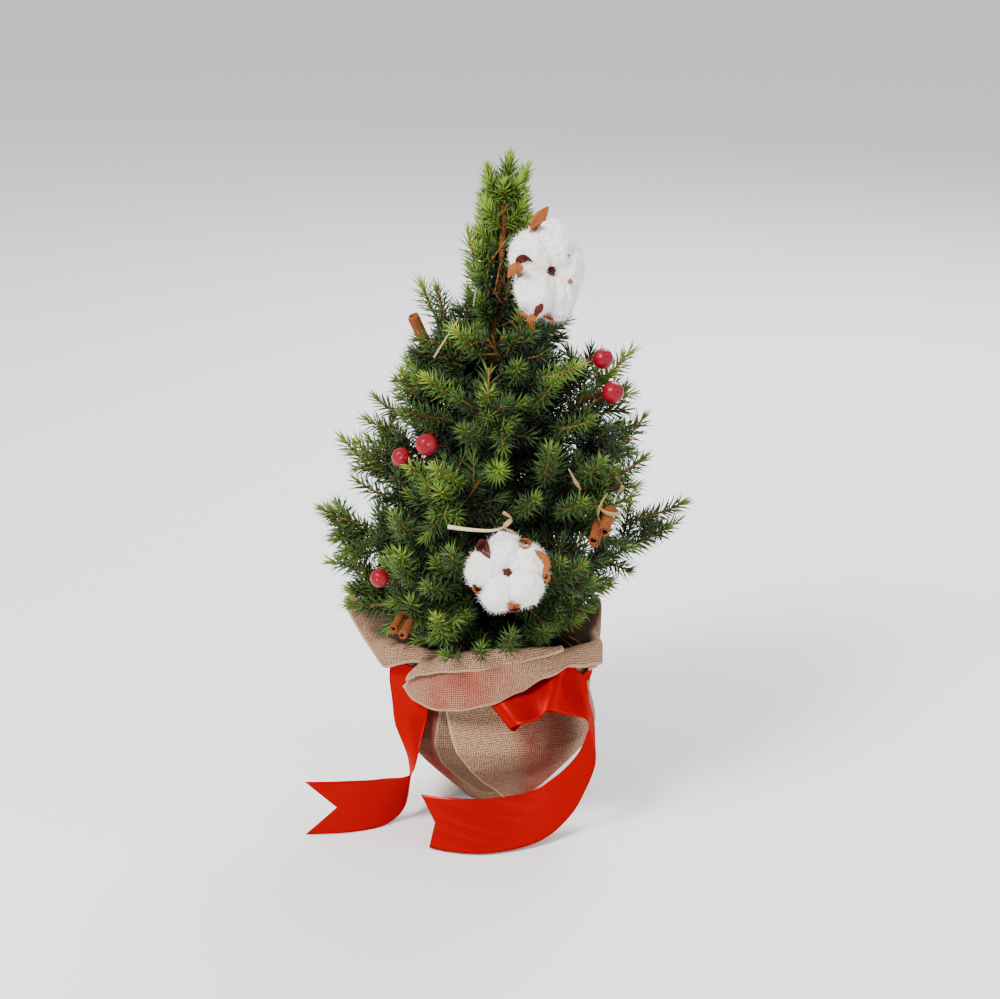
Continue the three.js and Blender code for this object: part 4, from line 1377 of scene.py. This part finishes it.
FIBRES = {"count": 6000, "lengths": (1.5, 4.5), "radius": 0.07}
FIBRE_WAY = {"outward": 0.55, "any": 0.6}
LOBE = {"out": 0.5, "along": 0.47, "across": 0.5, "deep": 0.46}  # a lobe's place and radii, for a boll of 1
TUFTS = [(0.14, 1.9), (0.08, 4.5), (0.035, 11)]  # depth and closeness of the cotton's lumps


def add_boll(name, boll, lobe_angles, seed):
    """Five lobes of cotton round the middle of a boll, with loose fibres standing out of them."""
    centre, right, up, ahead = standing(boll)
    size, stretch = boll["size"], boll["stretch"]
    mesh = bmesh.new()
    rng = np.random.default_rng(seed)
    surface = []
    for angle in lobe_angles:
        turn = math.radians(angle)
        out, along_ring = turned(right, up, turn), turned(up, -right, turn)
        made = bmesh.ops.create_icosphere(mesh, subdivisions=5, radius=1)
        shift = Vector(rng.uniform(-50, 50, 3))
        middle = out * size * LOBE["out"] + ahead * rng.uniform(-1.5, 1.5)
        plump = rng.uniform(0.9, 1.08)
        for vert in made["verts"]:
            on_ball = vert.co.copy()
            rough = sum(depth * noise.noise(on_ball * close + shift) for depth, close in TUFTS)
            x, y, z = on_ball * (1 + rough) * size
            offset = middle + out * x * LOBE["along"] + along_ring * y * LOBE["across"] * plump
            offset += ahead * z * LOBE["deep"]
            place = centre + right * (offset @ right) * stretch[0] + up * (offset @ up) * stretch[1]
            place += ahead * (offset @ ahead)
            vert.co = Vector(place) * MM
            surface.append(place)
    keep(finish_bmesh(mesh, f"{name}_cotton"), f"{name}_cotton", "cotton", COTTON)
    surface = np.array(surface)
    pick = rng.choice(len(surface), FIBRES["count"], replace=False)
    roots = surface[pick]
    outward = units(roots - centre)
    jitter = rng.normal(0, 1, outward.shape)
    directions = units(outward * FIBRE_WAY["outward"] + jitter * FIBRE_WAY["any"])
    lengths = rng.uniform(*FIBRES["lengths"], len(roots))
    fibres = needles(roots, directions, outward + jitter * 0.2, lengths, FIBRES["radius"])
    joined_piece(f"{name}_fluff", [fibres], "cotton", COTTON)


def leaf_outline(t):
    """Half the width of a bract, as a share of its greatest, from its foot at 0 to its point at 1."""
    return math.sin(math.pi * min(t, 1) ** 0.75) ** 0.8 * (1 - 0.25 * t) + 0.12 * (1 - t)


BRACT_WIDTH = 6.2  # half of it
BRACT_THICKNESS = 0.7
BRACT_CURVE = {"foot": -0.62, "rise": 1.05, "bend": 1.3, "cup": 3.0}  # foot and rise for a boll of 1


def add_bracts(name, boll, angles, lengths, curl, materials):
    """The dry bracts that hold a boll from behind and curl out past it."""
    centre, right, up, ahead = standing(boll)
    for index, (angle, length) in enumerate(zip(angles, lengths)):
        turn = math.radians(angle)
        out, ring = turned(right, up, turn), turned(up, -right, turn)

        def place(s, t, out=out, ring=ring, length=length):
            width = BRACT_WIDTH * leaf_outline(t)
            rise = (BRACT_CURVE["foot"] + BRACT_CURVE["rise"] * t ** BRACT_CURVE["bend"]) * boll["size"]
            cup = BRACT_CURVE["cup"] * (2 * s - 1) ** 2
            reach = length * math.sin(min(t, 1) * math.pi / 2 * 1.05)
            lift = curl * max(0, t - 0.75) ** 1.2
            offset = out * (reach + lift) + ring * (2 * s - 1) * width
            offset = right * (offset @ right) * boll["stretch"][0] + up * (offset @ up) * boll["stretch"][1]
            return centre + offset + ahead * (rise + cup)

        material = materials[index % len(materials)]
        sheet(f"{name}_bract_{index + 1}", place, 10, 22, BRACT_THICKNESS, "bract", material)


CORE = {"radius": 2.7, "points": 5, "point": 0.35, "depth": 4, "ahead": 4.5}
STALK = {"behind": 0.45, "length": 26, "sag": 4, "radii": (2.4, 1.4)}  # behind is for a boll of 1


def add_core(name, boll):
    """The dark star in the middle of an open boll, with its stalk behind."""
    centre, right, up, ahead = standing(boll)
    mesh = bmesh.new()
    made = bmesh.ops.create_icosphere(mesh, subdivisions=3, radius=1)
    for vert in made["verts"]:
        x, y, z = vert.co
        star = CORE["radius"] * (1 + CORE["point"] * math.cos(CORE["points"] * math.atan2(y, x)))
        place = centre + (right * x + up * y) * star + ahead * (z * CORE["depth"] + CORE["ahead"])
        vert.co = Vector(place) * MM

    def stalk(share):
        behind = boll["size"] * STALK["behind"] + STALK["length"] * share
        return centre - ahead * behind - STALK["sag"] * share**2 * UP

    rod_bmesh(mesh, stalk, lambda share, turn: mix(*STALK["radii"], share), 1, 8, 6)
    keep(finish_bmesh(mesh, f"{name}_core"), f"{name}_core", "bract", DARK_BRACT)


LOWER_BRACTS = {"angles": (133, 60, -8, -78, -152), "lengths": (25, 24, 26, 25, 23)}
UPPER_BRACTS = {"angles": (112, 172, -104, -34, 38), "lengths": (27, 27, 26, 11, 11)}
add_boll("lower_boll", LOWER_BOLL, (93, 26, -42, -112, 170), 5)
add_bracts("lower_boll", LOWER_BOLL, **LOWER_BRACTS, curl=3, materials=[DARK_BRACT, BRACT, BRACT])
add_core("lower_boll", LOWER_BOLL)
add_boll("upper_boll", UPPER_BOLL, (74, 4, -66, -140, 142), 8)
add_bracts("upper_boll", UPPER_BOLL, **UPPER_BRACTS, curl=5, materials=[BRACT])
add_core("upper_boll", UPPER_BOLL)

# Berries, on dark wiry stems

DIMPLE = {"depth": 0.22, "x": 0.15, "y": 0.2, "width": 0.03}  # for a berry of 1
BERRY_STEM = {"radius": 0.55, "inwards": 17, "fall": 9, "stems": 3}


def add_berries():
    mesh = bmesh.new()
    stems = []
    for index, berry in enumerate(BERRIES):
        centre, right, up, ahead = standing(berry)
        made = bmesh.ops.create_icosphere(mesh, subdivisions=4, radius=1)
        for vert in made["verts"]:
            x, y, z = vert.co
            beside = (x - DIMPLE["x"]) ** 2 + (y - DIMPLE["y"]) ** 2
            dimple = DIMPLE["depth"] * math.exp(-beside / DIMPLE["width"]) * (z > 0)
            skin = 1 - dimple + 0.02 * noise.noise(vert.co * 3 + Vector((index * 9.0, 0, 0)))
            vert.co = Vector(centre + (right * x + up * y + ahead * z) * berry["size"] * skin) * MM
        inwards = unit(trunk_middle(centre[2]) - centre)
        inner = centre + inwards * BERRY_STEM["inwards"] - BERRY_STEM["fall"] * UP
        for k in range(BERRY_STEM["stems"]):
            spot = centre - ahead * berry["size"] * 0.8
            bend = (spot + inner) / 2 + np.array([3 * k - 3, 2, 3 - 2 * k])
            end = inner + np.array([5 * k - 5, 0, 2 * k])
            curve = Curve(spot, bend, end)
            points = [curve.at(share) for share in np.linspace(0, 1, 7)]
            stems.append(rod(points, [BERRY_STEM["radius"]] * 7, 5))
    keep(finish_bmesh(mesh, "berries"), "berries", "berry", BERRY)
    joined_piece("berry_stems", stems, "bract", DARK_BRACT)


add_berries()

# Cinnamon quills, rolled up from one thin bark each

QUILL_BARK = 0.7
QUILL_CLOSING = 0.55  # how far the roll closes towards its middle


def add_quills():
    for index, quill in enumerate(QUILLS):
        low, high = np.array(quill["from"], float), np.array(quill["to"], float)
        axis = unit(high - low)
        side, other = square_to(axis, abs(axis[2]) > 0.9)

        def place(s, t, quill=quill, low=low, high=high, side=side, other=other, index=index):
            turn = math.radians(quill["turn"]) + 2 * math.pi * quill["rolls"] * s
            uneven = 1 + 0.05 * noise.noise(Vector((s * 4, t * 3, index)))
            radius = quill["radius"] * (1 - QUILL_CLOSING * s) * uneven
            return mix(low, high, t) + turned(side, other, turn) * radius

        sheet(f"cinnamon_{index + 1}", place, 44, 14, QUILL_BARK, "cinnamon", CINNAMON)


add_quills()

# Straw: thin strips and a few curls

STRAW_THICKNESS = 0.25
UPRIGHT_LEAF, LYING_LEAF = (1, 0, 0), (0, -0.3, 1)  # directions of a strip's width


def straw(name, points, widths, material, twist, width_way=LYING_LEAF, slot="straw"):
    """A thin strip along a line, with its widths given at even steps."""
    line = through(points)
    stations = np.linspace(0, 1, len(widths))
    across = unit(np.array(width_way, float))

    def place(s, t):
        step = 0.01
        tangent = unit(line(min(t + step, 1)) - line(max(t - step, 0)))
        side = unit(across - (across @ tangent) * tangent)
        direction = turned(side, np.cross(tangent, side), twist * t)
        return line(t) + direction * (s - 0.5) * np.interp(t, stations, widths)

    sheet(name, place, 4, 24, STRAW_THICKNESS, slot, material)


LONG_LINE = [(-30.5, -112, 228.5), (-16, -114, 227.2), (-2, -114, 226.8), (6, -108, 227.5)]
CURL_LINE = [(4, -112, 238), (9, -113, 234), (5, -114, 229), (11, -114, 225.5), (12, -108, 222)]
TIE_LINES = [
    [(64, -86, 233), (69, -92, 231), (76, -88, 229), (81, -78, 231)],
    [(70, -80, 240), (66, -88, 236), (64, -90, 229), (66, -88, 222)],
]
# Each with its name, line, widths and material, and how far it twists, in radians
STRAWS = [
    ("straw_long", LONG_LINE, (3.1, 2.2, 1.2), STRAW, 0),
    ("straw_curl", CURL_LINE, (2.6, 3.2, 2.2), STRAW_BROWN, 2.2),
    ("straw_upper", [(-25, -30, 340), (-32, -39, 331), (-40, -47, 320)], (1.2, 1.7, 1.9), STRAW, 0),
    ("straw_white", [(-13, -14, 358), (-14, -15, 352), (-15, -16, 346)], (1.2, 2.4, 1.6), STRAW, 0),
    ("straw_leaf", [(45, -88, 259), (49, -91, 252), (53, -89, 245)], (0.8, 4.2, 1.0), STRAW_BROWN, 0.7),
    ("straw_tan", [(76, -64, 246), (80, -68, 241), (77, -67, 236)], (1.8, 3.4, 2.2), STRAW_BROWN, 1.4),
    ("tie_right_1", TIE_LINES[0], (2.2, 3, 2.2), STRAW_BROWN, 0.3),
    ("tie_right_2", TIE_LINES[1], (1.4, 2, 0.8), STRAW_BROWN, 1.0),
]
for strip in STRAWS:
    straw(*strip)

# Bracts that lie over the cotton, each with its line, its greatest width, its material and the direction of
# its width
LEAF_OUTLINE = (0.35, 0.8, 1, 0.95, 0.75, 0.45, 0.08)
LEAF_TWIST = 0.5
BRACT_LEAVES = [
    ([(12, -41, 381), (18, -44, 384), (23, -46, 382)], 6, DARK_BRACT, LYING_LEAF),
    ([(14, -40, 380), (10, -42, 376), (7, -40, 370)], 6, BRACT, UPRIGHT_LEAF),
    ([(29, -47, 355), (26, -48, 351), (24, -47, 347)], 5, DARK_BRACT, UPRIGHT_LEAF),
    ([(26, -45, 348), (21, -45, 344), (24, -40, 336)], 5, BRACT, UPRIGHT_LEAF),
    ([(14, -40, 348), (19, -44, 346), (24, -44, 344)], 3.5, BRACT, LYING_LEAF),
    ([(22, -27, 398), (28, -26, 407), (33, -24, 413)], 8, BRACT, UPRIGHT_LEAF),
    ([(-10, -105, 218), (-8, -108, 213), (-4, -114, 208)], 7, DARK_BRACT, UPRIGHT_LEAF),
    ([(13, -108, 214), (18, -110, 213), (22, -106, 216)], 5, BRACT, LYING_LEAF),
    ([(23, -110, 212), (30, -111, 204), (29, -114, 194)], 8, BRACT, UPRIGHT_LEAF),
    ([(5, -120, 179), (11, -124, 180), (16, -121, 180)], 6, BRACT, LYING_LEAF),
    ([(-15, -114, 190), (-12, -117, 189), (-8, -118, 189)], 4, DARK_BRACT, LYING_LEAF),
]
for index, (line, width, skin, across) in enumerate(BRACT_LEAVES):
    widths = [width * share for share in LEAF_OUTLINE]
    straw(f"bract_leaf_{index + 1}", line, widths, skin, LEAF_TWIST, across, "bract")

# Stage, light and camera

FLOOR_HALF = 6000
FLOOR_DROP = 0.2  # keeps the floor just under the underside
floor = bmesh.new()
bmesh.ops.create_grid(floor, x_segments=1, y_segments=1, size=FLOOR_HALF * MM)
floor_data = finish_bmesh(floor, "floor")
floor_data.materials.append(Tree("floor_paper", (0.93, 0.93, 0.93), 0.9).material)
floor_object = bpy.data.objects.new("floor", floor_data)
floor_object.location.z = -FLOOR_DROP * MM
bpy.context.scene.collection.objects.link(floor_object)

world = bpy.data.worlds.new("studio")
world.use_nodes = True
background = world.node_tree.nodes["Background"]
background.inputs["Color"].default_value = (0.97, 0.97, 1, 1)
background.inputs["Strength"].default_value = 0.85
bpy.context.scene.world = world


LIGHT_TARGET = (0, 0, 0.22)  # in metres, like the places and sizes of the lights


def add_light(name, location, size, energy, colour=(1, 1, 1)):
    light = bpy.data.lights.new(name, "AREA")
    light.size = size
    light.energy = energy
    light.color = colour
    lamp = bpy.data.objects.new(name, light)
    lamp.location = location
    lamp.rotation_euler = (Vector(LIGHT_TARGET) - Vector(location)).to_track_quat("-Z", "Y").to_euler()
    bpy.context.scene.collection.objects.link(lamp)


add_light("key", (-0.9, -1.1, 1.6), 0.6, 66, colour=(1, 0.97, 0.92))
add_light("fill", (1.4, -1.0, 0.8), 1.2, 11)
add_light("back", (0.5, 1.3, 1.4), 0.9, 34)

# The camera stands in front and looks to the back, down by its elevation
VIEW = {"elevation": 18, "place": (2.076, -1616.8, 735.28), "lens": 91.8}
camera_data = bpy.data.cameras.new("camera")
camera_data.sensor_width = 36
camera_data.lens = VIEW["lens"]
camera = bpy.data.objects.new("camera", camera_data)
camera.location = Vector(VIEW["place"]) * MM
camera.rotation_euler = (math.radians(90 - VIEW["elevation"]), 0, 0)
bpy.context.scene.collection.objects.link(camera)
bpy.context.scene.camera = camera
